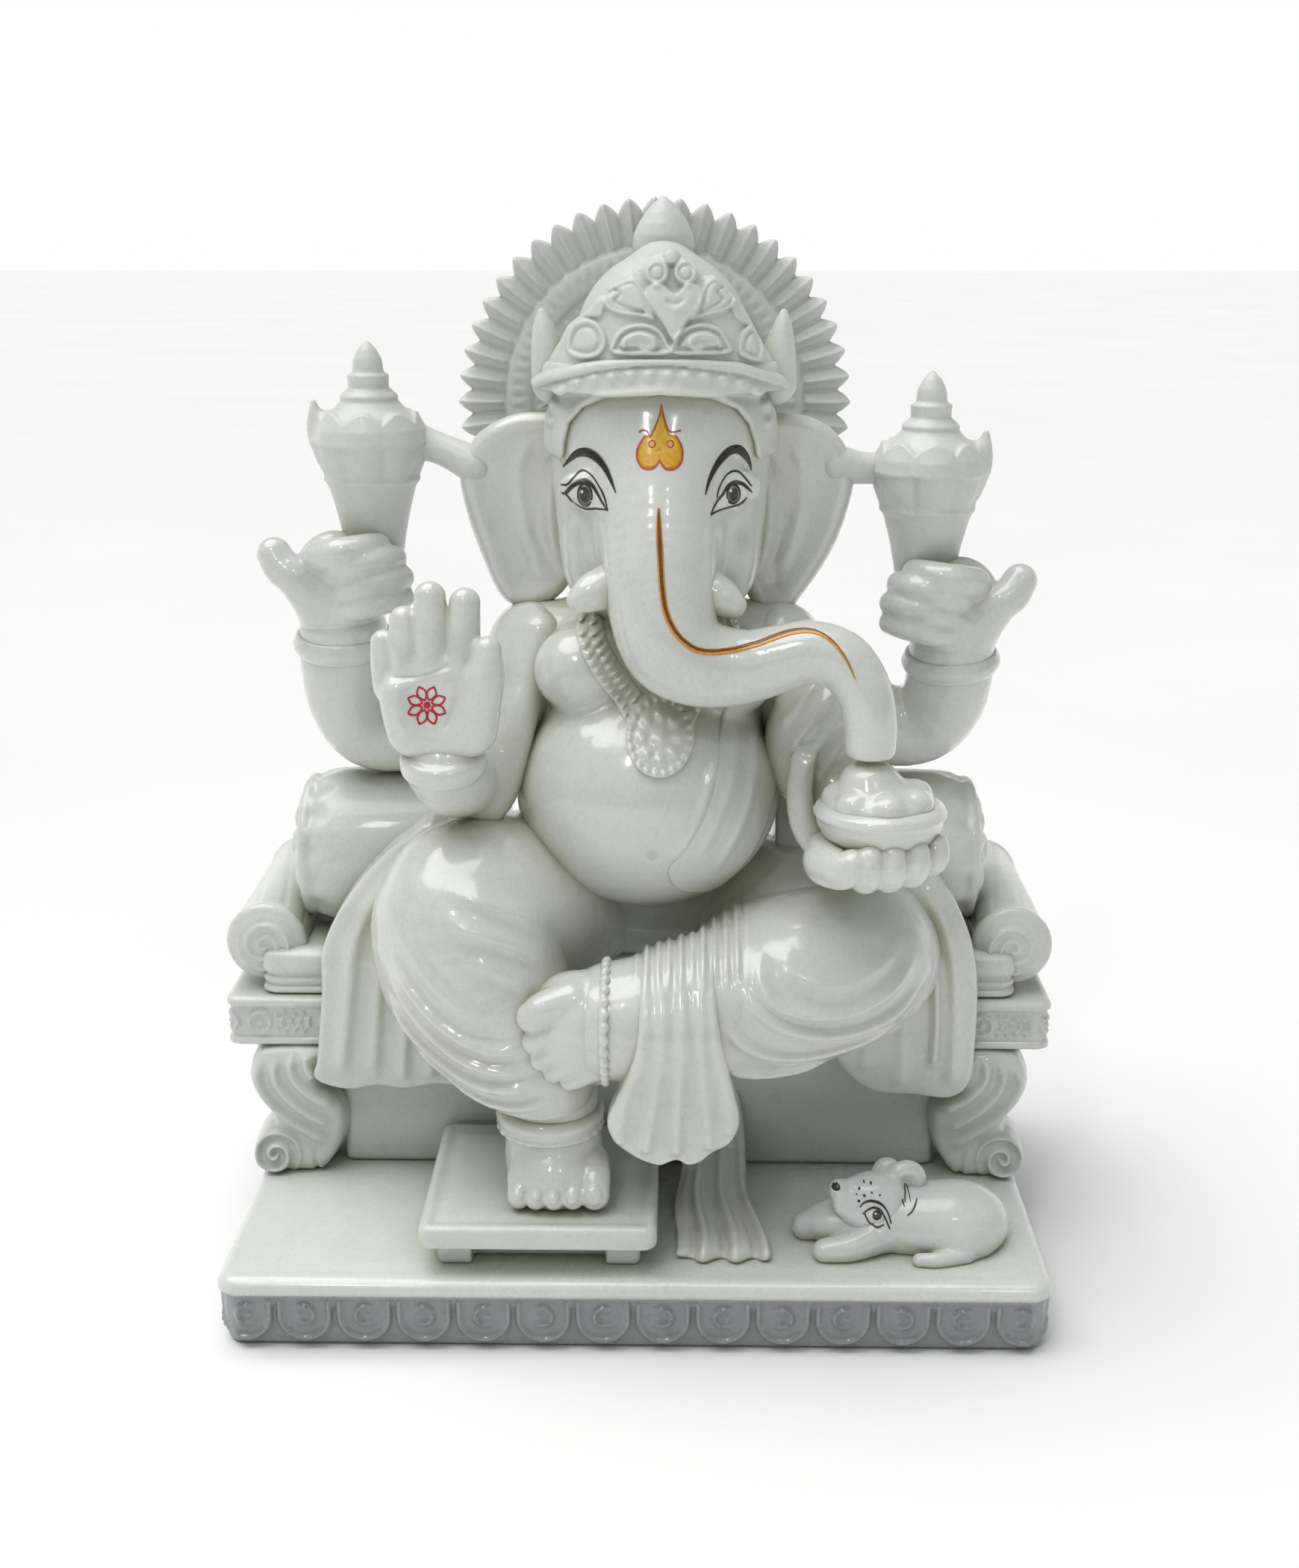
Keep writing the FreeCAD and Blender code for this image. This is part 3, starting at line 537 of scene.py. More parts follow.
def crown_relief(x, z):
    r = np.zeros(x.shape, dtype=f32)
    # side panels, then volutes, then the upper leaves, then the heart
    for loop in ([(-18.8, 265), (-17.6, 271), (-13.5, 273.6), (-9.2, 272.2), (-7.0, 267.5), (-9.5, 263.6), (-15, 262.8)],
                 [(26.6, 264), (27.2, 269.6), (30.2, 272.0), (33.6, 270.3), (34.6, 265.2), (32.6, 261.8)]):
        L = smooth_loop(loop)
        sd = poly_sd(x, z, L)
        r += 0.9 * step(-sd, -0.1, 1.0) - 0.55 * np.exp(-((sd + 2.2) / 0.7) ** 2)
    for s, cx in ((-1, 1.6), (1, 17.4)):
        loop = [(cx + a, b) for a, b in
                ((-8.0, 264.6), (-7.6, 268.6), (-4.6, 271.7), (0, 272.7), (4.6, 271.4),
                 (7.2, 268), (8.0, 264.6), (0, 264.0))]
        L = smooth_loop(loop)
        sd = poly_sd(x, z, L)
        r += 1.0 * step(-sd, -0.1, 0.9)
        r -= 0.75 * np.exp(-((sd + 2.0) / 0.62) ** 2)
        # the curl inside
        u = -s
        r += 0.7 * ridge(x, z, [(cx - 4.6 * u, 265.6), (cx - 4.0 * u, 268.2), (cx - 0.5 * u, 269.7),
                                (cx + 2.8 * u, 268.6), (cx + 3.0 * u, 266.6), (cx + 0.6 * u, 266.0),
                                (cx - 0.8 * u, 267.3)], 0.75, ends=0.08)
    for loop, vein in (
            ([(-9.4, 279.2), (-6.2, 281.8), (-1.0, 283.8), (2.6, 281.0), (4.0, 277.0), (5.6, 272.8),
              (1, 273.6), (-4.5, 274.2), (-8.0, 276.0)],
             [(-7.4, 278.6), (-6.2, 280.6), (-4.0, 279.6), (-5.2, 277.6), (-1.0, 275.9), (3.4, 274.8)]),
            ([(26.6, 279.0), (23.6, 282.0), (20.6, 284.1), (17.6, 282.0), (16.0, 277.0), (13.8, 272.8),
              (18, 273.6), (22.5, 274.6), (25.6, 276.2)],
             [(25.0, 278.8), (23.6, 281.2), (21.4, 280.2), (22.4, 278.0), (19.2, 276.2), (16.0, 275.0)])):
        L = smooth_loop(loop)
        sd = poly_sd(x, z, L)
        r += 1.0 * step(-sd, -0.1, 1.0)
        r -= 0.55 * ridge(x, z, vein, 0.6, ends=0.1)
        r -= 0.35 * np.exp(-((sd + 1.5) / 0.5) ** 2)
    # outermost small leaves on the shoulders
    for loop in ([(-16.6, 274.2), (-13.0, 277.0), (-9.6, 279.2), (-7.8, 276.4), (-9.5, 273.4)],
                 [(33.0, 271.2), (29.2, 276.0), (26.0, 278.8), (24.6, 275.8), (27.0, 272.0)]):
        sd = poly_sd(x, z, smooth_loop(loop))
        r += 0.7 * step(-sd, -0.1, 0.9)
    heart = smooth_loop([(10.0, 267.4), (6.6, 272.0), (3.4, 276.4), (2.4, 279.8), (4.2, 282.4),
                         (7.6, 282.2), (10.2, 280.4), (12.8, 282.4), (16.2, 282.3), (17.9, 279.6),
                         (16.8, 276.0), (13.6, 272.0)])
    sd = poly_sd(x, z, heart)
    r += 1.5 * step(-sd, -0.1, 1.1)
    r += 0.4 * step(-sd, 1.5, 6)
    # little face of folds in the middle of the heart
    r -= 0.35 * ridge(x, z, [(7.4, 278.4), (10.2, 277.2), (13.0, 278.4)], 0.6, ends=0.2)
    # round two-lobed flower above it
    for cx in (5.6, 13.0):
        dd = np.sqrt((x - cx) ** 2 + (z - 285.0) ** 2)
        r += 1.5 * (1 - step(dd, 2.2, 4.0)) - 0.5 * np.exp(-((dd - 1.7) / 0.5) ** 2)
    dd = np.sqrt((x - 9.2) ** 2 + (z - 288.8) ** 2)
    r += 1.3 * (1 - step(dd, 1.2, 2.4))
    return r


def f_crown(P):
    x, y, z = P[:, 0], P[:, 1], P[:, 2]
    rim = np.interp(x, RIM[:, 0], RIM[:, 1]).astype(f32)
    rim = np.where(y > 8, np.minimum(rim, 272), rim)
    fr = frustum(P)
    front = step(-y, -14, -6)
    d = fr - 1.6 * front * crown_relief(x, z)
    inner = -(fr + 9.0)
    d = smax(d, (z - rim) * 0.75, 1.6)
    d = smax(d, inner, 1.0)
    d = smax(d, 256.0 - z, 0.6)
    return d


sculpt("crown_front", f_crown, (-32, -36, 254), (46, 34, 294), 0.42, ["crown"], slack=2.0)


def f_band(P):
    x, y, z = P[:, 0], P[:, 1], P[:, 2]
    up = step(z, 246, 257)
    skull = ell(P, (6.5, 0.3, 240.6), (32.3, 29.5, 30.4))
    d = smin(skull, np.maximum(frustum(P) - 0.6, np.abs(z - 259) - 4.5), 3)
    loop = [(-40, 234)] + EDGE + [(55, 234), (55, 300), (-40, 300)]
    sd = poly_sd(x, z, loop)
    d = smax(d, sd * 0.95, 1.5)
    d = smax(d, z - 262.0, 1.5)
    d = smax(d, 236.8 - z, 1.5)
    front = step(-y, -12, -4)
    cd, ct = seg2(x, z, catmull(CORD, 5))
    d = d - front * 1.5 * np.sqrt(np.clip(1 - (cd / 1.5) ** 2, 0, 1))
    bd, bt = seg2(x, z, BEAD_ROW)
    beads = 0.55 + 0.45 * np.cos(bt * 2 * math.pi * 15.0)
    d = d - front * 1.35 * np.exp(-(bd / 1.25) ** 2) * beads
    ed, et = seg2(x, z, EDGE)
    d = d - front * 0.5 * np.exp(-((ed - 1.2) / 1.0) ** 2)
    return d


sculpt("crown_headband", f_band, (-32, -38, 233), (46, 36, 266), 0.42, ["crown_band"], slack=2.0)


def f_dome(P):
    z = P[:, 2]
    d = ell(P, (7, 9, 264), (24.5, 23, 26.2))
    d = smin(d, tube(P, [(7, 14, 282, 10), (7, 18, 287, 7.2), (7, 20.5, 289.5, 7.0)]), 4)
    return smax(d, 255.5 - z, 1)


sculpt("crown_dome", f_dome, (-22, -18, 253), (36, 38, 298), 0.6, ["crown_dome"])


def f_finial(P):
    x, y, z = P[:, 0], P[:, 1], P[:, 2]
    return lathe(P, (6.9, 21, 0), [(286, 7.0), (288, 8.0), (291, 8.6), (294, 8.3), (297, 7.0), (300, 5.0),
                                   (302.5, 2.7), (304.2, 0.5)])


sculpt("crown_finial", f_finial, (-4, 10, 284), (18, 32, 305), 0.4, ["crown_finial"])

for nm, pts in (("crown_leaf_left", [(-22.9, -4, 255.5, 5.6), (-23.6, -4.5, 262, 4.9), (-24.9, -4.5, 269, 3.2),
                                     (-25.6, -4.5, 274.2, 1.1)]),
                ("crown_leaf_right", [(37.6, -4, 255.5, 5.6), (38.0, -4.5, 262, 4.8), (39.0, -4.5, 269, 3.0),
                                      (39.4, -4.5, 274.0, 1.1)])):
    sculpt(nm, (lambda q: lambda P: tube(P, q))(pts),
           (min(p[0] for p in pts) - 7, -12, 249), (max(p[0] for p in pts) + 7, 4, 278), 0.4, [nm])


# --------------------------------------------------------------------- torso
def f_torso(P):
    x, y, z = P[:, 0], P[:, 1], P[:, 2]
    belly = ell(P, (3, -11, 142.5), (37.2, 34, 33))
    chest = ell(P, (5, 2, 174), (34, 24, 24))
    d = smin(belly, chest, 7)
    d = smin(d, ell(P, (4, 12, 150), (36, 22, 42)), 12)
    d = smin(d, limb(P, [(-30, 5, 181, 13), (40, 5, 181, 13)]), 8)
    # breasts with the fold under them
    for cx in (-15, 25):
        b = ell(P, (cx, -15, 178.5), (13.5, 13.5, 12.5))
        d = smin(d, b, 4.0)
    d = smin(d, ell(P, (4, 9, 106), (54, 27, 20)), 6)
    # navel
    d = smax(d, -ell(P, (4.9, -45.6, 133.4), (2.1, 3.0, 1.7)), 1.2)
    front = step(-y, 8, 22)
    # cloth edge crossing the belly, with the cloth side standing a little proud
    cur = [(21.5, 166), (21.8, 160), (20.0, 152.5), (17.2, 145), (13.0, 136.5), (8.6, 129.5)]
    r = ridge(x, z, cur, 1.35, ends=0.22)
    side = np.interp(z, [129, 136.5, 145, 152.5, 160, 166], [8.4, 13, 17.2, 20, 21.8, 21.5])
    cov = step(x, side - 0.5, side + 1.2) * step(z, 126, 140) * (1 - step(z, 160, 168))
    d = d - front * (1.15 * r + 0.35 * cov)
    return smax(d, 90.5 - z, 1)


sculpt("torso_carved", f_torso, (-56, -50, 89), (64, 40, 200), 0.62, ["torso"])


def f_sash(P):
    """Hidden continuation of the cloth under the trunk, over the right side."""
    x, y, z = P[:, 0], P[:, 1], P[:, 2]
    shell = smin(ell(P, (3, -11, 142.5), (38.0, 34.9, 33.9)), ell(P, (5, 2, 174), (34.9, 25, 24.8)), 7)
    shell = smin(shell, ell(P, (25, -15, 178.5), (14.2, 14.3, 13.2)), 4)
    loop = smooth_loop([(22.6, 164), (21.4, 152.8), (17.8, 144), (13.6, 136), (9.0, 129), (12, 121),
                        (22, 118), (31, 126), (38, 140), (41, 156), (42, 170), (36, 181), (27, 176)])
    d = smax(shell, poly_sd(x, z, loop) * 0.9, 1.2)
    d = smax(d, y - 2.0, 1.0)
    fold = (ridge(x, z, [(27, 168), (26.5, 155), (22.5, 143), (17, 132)], 1.6)
            + ridge(x, z, [(33, 168), (32.5, 152), (28, 138), (21, 126)], 1.6))
    return d - 0.7 * fold


sculpt("sash_fold", f_sash, (4, -50, 114), (46, 6, 186), 0.5, ["sash"])


def f_necklace(P):
    x, y, z = P[:, 0], P[:, 1], P[:, 2]
    base = smin(ell(P, (3, -11, 142.5), (37.2, 34, 33)), ell(P, (5, 2, 174), (34, 24, 24)), 7)
    for cx in (-15, 25):
        base = smin(base, ell(P, (cx, -15, 178.5), (13.5, 13.5, 12.5)), 4.0)
    left = catmull([(-13.6, 194), (-12.2, 189), (-8.4, 182), (-4.0, 175.5), (0.6, 170)], 5)
    right = catmull([(25.5, 194), (23.6, 187), (20.0, 180), (16.5, 174), (13.4, 170)], 5)
    dl, tl = seg2(x, z, left)
    dr, tr = seg2(x, z, right)
    band = np.minimum(dl, dr)
    t = np.where(dl < dr, tl, tr)
    pr = np.sqrt((x - 6.8) ** 2 + ((z - 165.2) / 1.04) ** 2)
    area = np.minimum(band - 3.6, pr - 9.4)
    # knotted chain: two staggered rows of small beads
    off = np.where(dl < dr, np.sign(x - np.interp(z, left[::-1, 1], left[::-1, 0])),
                   np.sign(x - np.interp(z, right[::-1, 1], right[::-1, 0])))
    n = 12.0
    row = 0.5 + 0.5 * np.cos(2 * math.pi * (t * n + 0.25 * off))
    beads = np.exp(-((band - 1.7) / 1.5) ** 2) * row
    ang = np.arctan2(z - 165.2, x - 6.8)
    petals = 0.5 + 0.5 * np.cos(ang * 8)
    disc = (1.2 * np.exp(-(pr / 2.1) ** 2)
            + (0.35 + 0.75 * petals) * np.exp(-((pr - 5.0) / 1.5) ** 2)
            + (0.4 + 0.8 * (0.5 + 0.5 * np.cos(ang * 22))) * np.exp(-((pr - 8.3) / 0.9) ** 2))
    rel = np.where(pr < 10.2, disc, 1.05 * beads)
    d = base - 1.0 - rel
    d = smax(d, area * 0.9, 0.9)
    return smax(smax(d, y + 6.0, 1.0), -(base + 2.5), 0.6)


sculpt("necklace_pendant", f_necklace, (-20, -52, 152), (32, -4, 200), 0.36, ["necklace"], slack=2.2)


# ----------------------------------------------------------------- rear arms
REAR_L = [(-30, 12, 176, 13), (-50, 14, 162, 13), (-68, 15.5, 153, 12.2), (-79.5, 15, 154, 12.6),
          (-84.5, 12, 163, 12.6), (-85.5, 9.5, 174, 12.8), (-85.2, 8, 184, 12.6)]
REAR_R = [(40, 12, 176, 13), (57, 14, 163, 13), (73, 15.5, 155, 12.0), (83.5, 15, 156, 12.2),
          (88.8, 12, 163, 12.2), (90.2, 9.5, 171, 12.4), (90.5, 8, 180, 12.2)]


def rear_arm(name, pts, node):
    s = catmull(pts, 4)
    sculpt(name, lambda P: limb(P, s), (min(p[0] for p in pts) - 15, -8, 136),
           (max(p[0] for p in pts) + 15, 31, 200), 0.62, [node])


rear_arm("rear_arm_left", REAR_L, "rear_arm_left")
rear_arm("rear_arm_right", REAR_R, "rear_arm_right")


def bangle(name, c, R0, r, tilt, node, flat=1.0):
    R = rotm(*tilt)
    def f(P):
        Q = loc(P, c, R)
        rad = np.sqrt(Q[:, 0] ** 2 + (Q[:, 1] / flat) ** 2) - R0
        d = np.sqrt((rad / 1.0) ** 2 + (Q[:, 2] / 1.25) ** 2) - r
        d = smin(d, np.sqrt(rad ** 2 + (np.abs(Q[:, 2]) - 2.3) ** 2) - 0.9, 0.8)
        return d
    e = R0 + 6
    sculpt(name, f, (c[0] - e, c[1] - e, c[2] - e), (c[0] + e, c[1] + e, c[2] + e), 0.42, [node])


bangle("rear_bangle_left", (-85.4, 8.6, 181.3), 12.7, 1.9, (9, 0, 0), "rear_bangle_left")
bangle("rear_bangle_right", (90.4, 8.8, 176.2), 12.3, 1.9, (9, -4, 0), "rear_bangle_right")


def rear_hand(name, s, cx, cz, node):
    """Hand closed round the stem: palm, thumb outside, fingers inside."""
    def X(a):
        return cx + s * a
    thumb = catmull([(X(6), 2, cz - 3, 6.5), (X(11), -0.5, cz + 4, 5.4), (X(14.8), 0.5, cz + 7, 5.3),
                     (X(17.2), 1.6, cz + 10.6, 4.9)], 4)
    fingers = []
    for i, (dx, dz, r) in enumerate(((-3.0, 12.0, 4.4), (-7.5, 8.5, 4.3), (-9.5, 3.0, 4.2), (-9.6, -2.6, 4.0))):
        fingers.append(catmull([(X(dx + 7), -0.5, cz + dz - 2, r + 0.4), (X(dx + 1), -5.0, cz + dz, r),
                                (X(dx - 5.5), -3.5, cz + dz + 1.0, r - 0.3), (X(dx - 9), 2, cz + dz + 1, r - 0.6)], 4))
    def f(P):
        d = ell(P, (X(1), 7, cz + 2), (12.4, 9.5, 14.5))
        d = smin(d, cap(P, (X(0), 8, cz - 12), (X(0), 7, cz - 2), 12.0, 11.5), 5)
        d = smin(d, limb(P, thumb), 2.6)
        for q in fingers:
            d = smin(d, limb(P, q), 1.3)
        return d
    sculpt(name, f, (cx - 26, -16, cz - 16), (cx + 26, 24, cz + 24), 0.42, [node])


rear_hand("rear_hand_left", -1, -85.5, 197, "rear_hand_left")
rear_hand("rear_hand_right", 1, 90.5, 190, "rear_hand_right")


def bud(name, cx, cy, dz, node):
    """Bud-topped vessel with a petalled shoulder."""
    prof = [(206.8, 8.2), (212, 9.0), (218, 10.2), (224, 11.8), (229, 13.2), (233.5, 15.0), (238.5, 15.9),
            (242, 15.4), (245.0, 13.2), (247.5, 10.0), (250, 7.6), (252.0, 6.9), (253.2, 5.6), (255, 5.7),
            (256.4, 5.3), (257.6, 4.3), (259.4, 4.2), (261, 3.9), (263.5, 2.6), (265.8, 0.5)]
    def f(P):
        Q = P - A(cx, cy, dz)
        x, y, z = Q[:, 0], Q[:, 1], Q[:, 2]
        a = np.arctan2(y, x)
        rad = np.sqrt(x * x + y * y)
        d = lathe(Q, (0, 0, 0), prof)
        # petals: scalloped upper edge and grooves between them
        pet = np.abs(np.cos(a * 4))
        body = step(z, 225, 231) * (1 - step(z, 242, 247))
        d = d - body * (0.95 * (pet - 0.6))
        lip = 243.5 + 3.2 * pet
        d = smin(d, np.maximum(np.abs(rad - (13.4 - 0.35 * (z - 243))) - 1.3, np.maximum(z - lip, 238 - z)), 1.2)
        d = d - 0.6 * np.exp(-((z - 227.5) / 1.1) ** 2) - 0.7 * np.exp(-((z - 250.8) / 0.9) ** 2)
        d = d - 0.5 * np.exp(-((z - 256.4) / 0.7) ** 2)
        # upturned leaf on the outer shoulder
        s = -1.0 if cx < 0 else 1.0
        d = smin(d, tube(Q, [(s * 10.5, 0, 235.5, 5.4), (s * 14.0, -0.5, 240.5, 3.7), (s * 15.2, -0.5, 245, 2.2),
                             (s * 15.6, -0.5, 249, 0.8)], 4), 1.6)
        return d
    sculpt(name, f, (cx - 20, cy - 20, 205 + dz), (cx + 20, cy + 20, 267 + dz), 0.46, [node], slack=2.0)


bud("lotus_bud_left", -75.5, 11, 0, "lotus_bud_left")
bud("lotus_bud_right", 82.0, 11, -8, "lotus_bud_right")

for nm, pts in (("strut_left", [(-66, 12, 238.5, 6.2), (-59, 12, 237, 4.6), (-52.5, 11, 234.6, 4.6), (-46, 10, 231.5, 5.4)]),
                ("strut_right", [(74, 12, 231.5, 6.4), (68, 12, 230.8, 4.6), (62, 11, 231, 4.6), (56, 10, 232.0, 5.6)])):
    sculpt(nm, (lambda q: lambda P: limb(P, q))(catmull(pts, 5)),
           (min(p[0] for p in pts) - 8, 0, 221), (max(p[0] for p in pts) + 8, 21, 247), 0.5, [nm])


# ---------------------------------------------------------------- front arms
def f_blessing_arm(P):
    x, y, z = P[:, 0], P[:, 1], P[:, 2]
    d = tube(P, [(-30, 3, 181, 13), (-35.5, -2, 170, 12.5), (-41.5, -10, 158, 12.0), (-46, -20, 150.5, 11.5),
                 (-49.5, -31, 151.5, 10.8), (-51.5, -37.5, 157, 10.6)])
    # shawl edge down the inner side of the upper arm
    edge = tube(P, [(-27, -6, 187, 5.0), (-31.5, -12, 172, 5.0), (-34.5, -19, 158, 5.2), (-38, -22, 146, 5.2),
                    (-41, -24, 140, 4.2)])
    d = smin(d, edge, 4)
    cuff = cyl(P, (-51.6, -38.5, 158.5), 11.6, 3.4, axis=2, rr=2.6, R=rotm(14, 0, 0))
    return smin(d, cuff, 1.0)


sculpt("blessing_arm", f_blessing_arm, (-66, -54, 132), (-12, 20, 198), 0.5, ["blessing_arm"])


def f_blessing_hand(P):
    x, y, z = P[:, 0], P[:, 1], P[:, 2]
    palm = ell(P, (-51.8, -38.5, 175.5), (15.4, 6.6, 14.5))
    palm = smin(palm, ell(P, (-51.5, -38, 167.0), (12.4, 8.4, 9.5)), 6)
    # ball of the thumb and the outer heel stand proud of the hollow palm
    d = smin(palm, cap(P, (-42.5, -42, 168), (-39.3, -42.5, 182), 5.6, 4.6), 4)
    d = smin(d, cap(P, (-60, -41.5, 167), (-63, -41, 178), 4.8, 4.2), 4)
    d = smax(d, -ell(P, (-52.5, -48.6, 176.5), (7.5, 4.0, 8.5)), 4)
    for pts in ([(-45.6, -38.5, 184, 4.9), (-45.3, -37.6, 192, 4.6), (-44.8, -35.6, 201.3, 4.1)],
                [(-53.6, -38.5, 185, 4.9), (-53.8, -37.4, 194, 4.7), (-54.0, -35.4, 202.8, 4.2)],
                [(-60.6, -38.3, 183, 4.5), (-61.0, -37.4, 190, 4.3), (-61.2, -35.6, 196.6, 3.8)],
                [(-65.6, -38.0, 179, 4.0), (-66.4, -37.2, 185, 3.8), (-66.8, -35.8, 190.6, 3.4)]):
        d = smin(d, tube(P, pts), 1.1)
    d = smin(d, tube(P, [(-40.4, -42.5, 178, 5.0), (-38.8, -42.6, 184, 4.6), (-38.6, -41.0, 189.6, 3.9)]), 1.6)
    # creases of the palm
    front = step(-y, 38, 42)
    c = ridge(x, z, [(-64.5, 182.5), (-57, 183.2), (-47, 186.5)], 0.7, ends=0.2)
    c += 0.7 * ridge(x, z, [(-46, 182), (-47.5, 176), (-50, 168.5)], 0.8, ends=0.2)
    return d + 0.55 * front * c


sculpt("blessing_hand", f_blessing_hand, (-72, -52, 154), (-32, -26, 209), 0.38, ["blessing_hand"])


def f_sweet_arm(P):
    x, y, z = P[:, 0], P[:, 1], P[:, 2]
    d = tube(P, [(40, 3, 180, 13.5), (46, -1, 170, 14), (51, -7, 158, 14), (55, -14, 148, 13), (59, -26, 139, 11),
                 (62, -38, 135.5, 9.0)])
    # loose sleeve that opens over the forearm
    d = smin(d, ell(P, (50, -17, 160), (14, 10, 19), rotm(0, 12, 0)), 5)
    edge = tube(P, [(45.6, -29, 156, 3.4), (44.8, -32, 148, 3.6), (46.2, -36, 140, 3.8), (50.5, -40, 133.5, 3.6)])
    d = smin(d, edge, 3.0)
    # fan of pleats
    r = np.zeros(x.shape, dtype=f32)
    for a, b in (((44, 152), (62, 176)), ((40.5, 157), (56.5, 178)), ((37.8, 163), (51, 179)),
                 ((36.4, 169), (46, 180)), ((49, 150), (66.5, 172))):
        r += ridge(x, z, [a, b], 1.25, ends=0.25)
    front = step(-y, 2, 10)
    return d - 0.95 * front * np.minimum(r, 1.2)


sculpt("sweet_arm_sleeve", f_sweet_arm, (22, -50, 124), (80, 20, 198), 0.5, ["sweet_arm"])


def f_sweet_hand(P):
    d = ell(P, (63.5, -45, 134.5), (15.5, 13, 5.6))
    d = smin(d, tube(P, [(52, -45, 135, 6.2), (50.8, -53, 135.2, 5.9), (54.5, -59.6, 135.6, 5.2), (57.2, -61.4, 137.6, 4.3)]), 2)
    for pts in ([(61, -50, 133.5, 4.6), (60.8, -57.5, 133, 4.5), (61.2, -61.3, 136.2, 4.1), (61.6, -61.0, 139.4, 3.5)],
                [(66.6, -49, 133.5, 4.6), (67.0, -56.6, 133, 4.5), (67.4, -60.4, 136.2, 4.1), (67.6, -60.0, 139.6, 3.5)],
                [(72, -48, 134, 4.5), (73.0, -54.6, 133.6, 4.4), (73.8, -58.0, 136.6, 4.0), (74.0, -57.6, 139.8, 3.5)],
                [(76.5, -46, 135, 4.0), (78.6, -51, 135, 3.9), (79.6, -53.6, 137.6, 3.6), (79.8, -53.0, 140.2, 3.2)]):
        d = smin(d, tube(P, pts, 4), 0.9)
    return d


sculpt("sweet_hand", f_sweet_hand, (42, -68, 124), (86, -28, 146), 0.38, ["sweet_hand"])


def f_bowl(P):
    x, y, z = P[:, 0], P[:, 1], P[:, 2]
    d = lathe(P, (65.4, -46, 0), [(137.4, 9.5), (139.0, 12.8), (141.5, 15.4), (144.5, 16.8), (147.5, 17.3),
                                  (149.2, 17.0), (150.2, 15.4)])
    return d - 0.5 * np.exp(-((z - 147.6) / 1.0) ** 2)


sculpt("sweet_bowl", f_bowl, (44, -68, 135), (87, -24, 153), 0.46, ["sweet_bowl"])


def f_sweets(P):
    x, y, z = P[:, 0], P[:, 1], P[:, 2]
    d = smin(ell(P, (65, -46, 149), (15.0, 14.4, 7.6)), ell(P, (62.4, -46.2, 154.5), (8.4, 8.4, 7.4)), 3)
    for i in range(7):
        a = i * 2 * math.pi / 7 + 0.35
        d = smin(d, ell(P, (65 + 10.6 * math.cos(a), -46 + 10.2 * math.sin(a), 151.2), (4.6, 4.6, 4.0)), 1.2)
    return smax(d, z - 161.6, 1.0)


sculpt("sweets_heap", f_sweets, (46, -64, 140), (84, -28, 164), 0.42, ["sweets"])


# ---------------------------------------------------------------------- legs
def f_hanging_leg(P):
    x, y, z = P[:, 0], P[:, 1], P[:, 2]
    d = limb(P, catmull([(-18, 2, 108, 24), (-33, -14, 110, 26), (-46, -30, 111.5, 26.8), (-45, -36, 100, 25.5),
                         (-38, -41, 87, 21.5), (-30.5, -45, 76, 17.5), (-26, -46, 70, 15.2)], 4))
    d = smin(d, ell(P, (-50, -26, 96), (21, 22, 28)), 10)
    d = smax(d, 61.8 - z + 0.10 * (x + 26) ** 2 * 0.03, 1.6)
    front = step(-y, 8, 24)
    r = 1.30 * ridge(x, z, [(-66, 112), (-62.5, 103), (-54, 93.0), (-44.5, 86.8), (-35, 84.8), (-26, 86.5)], 1.9, ends=0.25)
    r += 1.35 * ridge(x, z, [(-68, 107), (-63.5, 97.5), (-55, 87.2), (-46, 81), (-35.0, 78.8), (-25, 81)], 1.9, ends=0.22)
    r += 1.35 * ridge(x, z, [(-68.5, 98), (-63, 87), (-54.7, 78.8), (-44, 73.6), (-34, 73.4), (-22, 76)], 2.0, ends=0.2)
    r += 1.1 * ridge(x, z, [(-64, 83), (-55, 71.8), (-44, 67.4), (-32, 67.0), (-20, 70)], 1.9, ends=0.2)
    r += 0.7 * ridge(x, z, [(-63, 120), (-58.0, 108), (-50, 99.5), (-41, 94.5), (-32, 93.5)], 2.4, ends=0.35)
    r += 1.0 * ridge(x, z, [(-53, 120.8), (-44.7, 118.2), (-35.1, 114.5), (-27.0, 109.4), (-21, 102.5)], 1.9, ends=0.3)
    r += 0.9 * ridge(x, z, [(-51.3, 127), (-40, 124.4), (-30, 119.5), (-21, 111)], 2.1, ends=0.35)
    r += 0.7 * ridge(x, z, [(-47, 110), (-38, 107.5), (-30, 103), (-25, 97)], 1.9, ends=0.35)
    return d - 1.75 * front * r


sculpt("hanging_leg_dhoti", f_hanging_leg, (-78, -66, 58), (10, 30, 142), 0.55, ["hanging_leg"], slack=2.2)


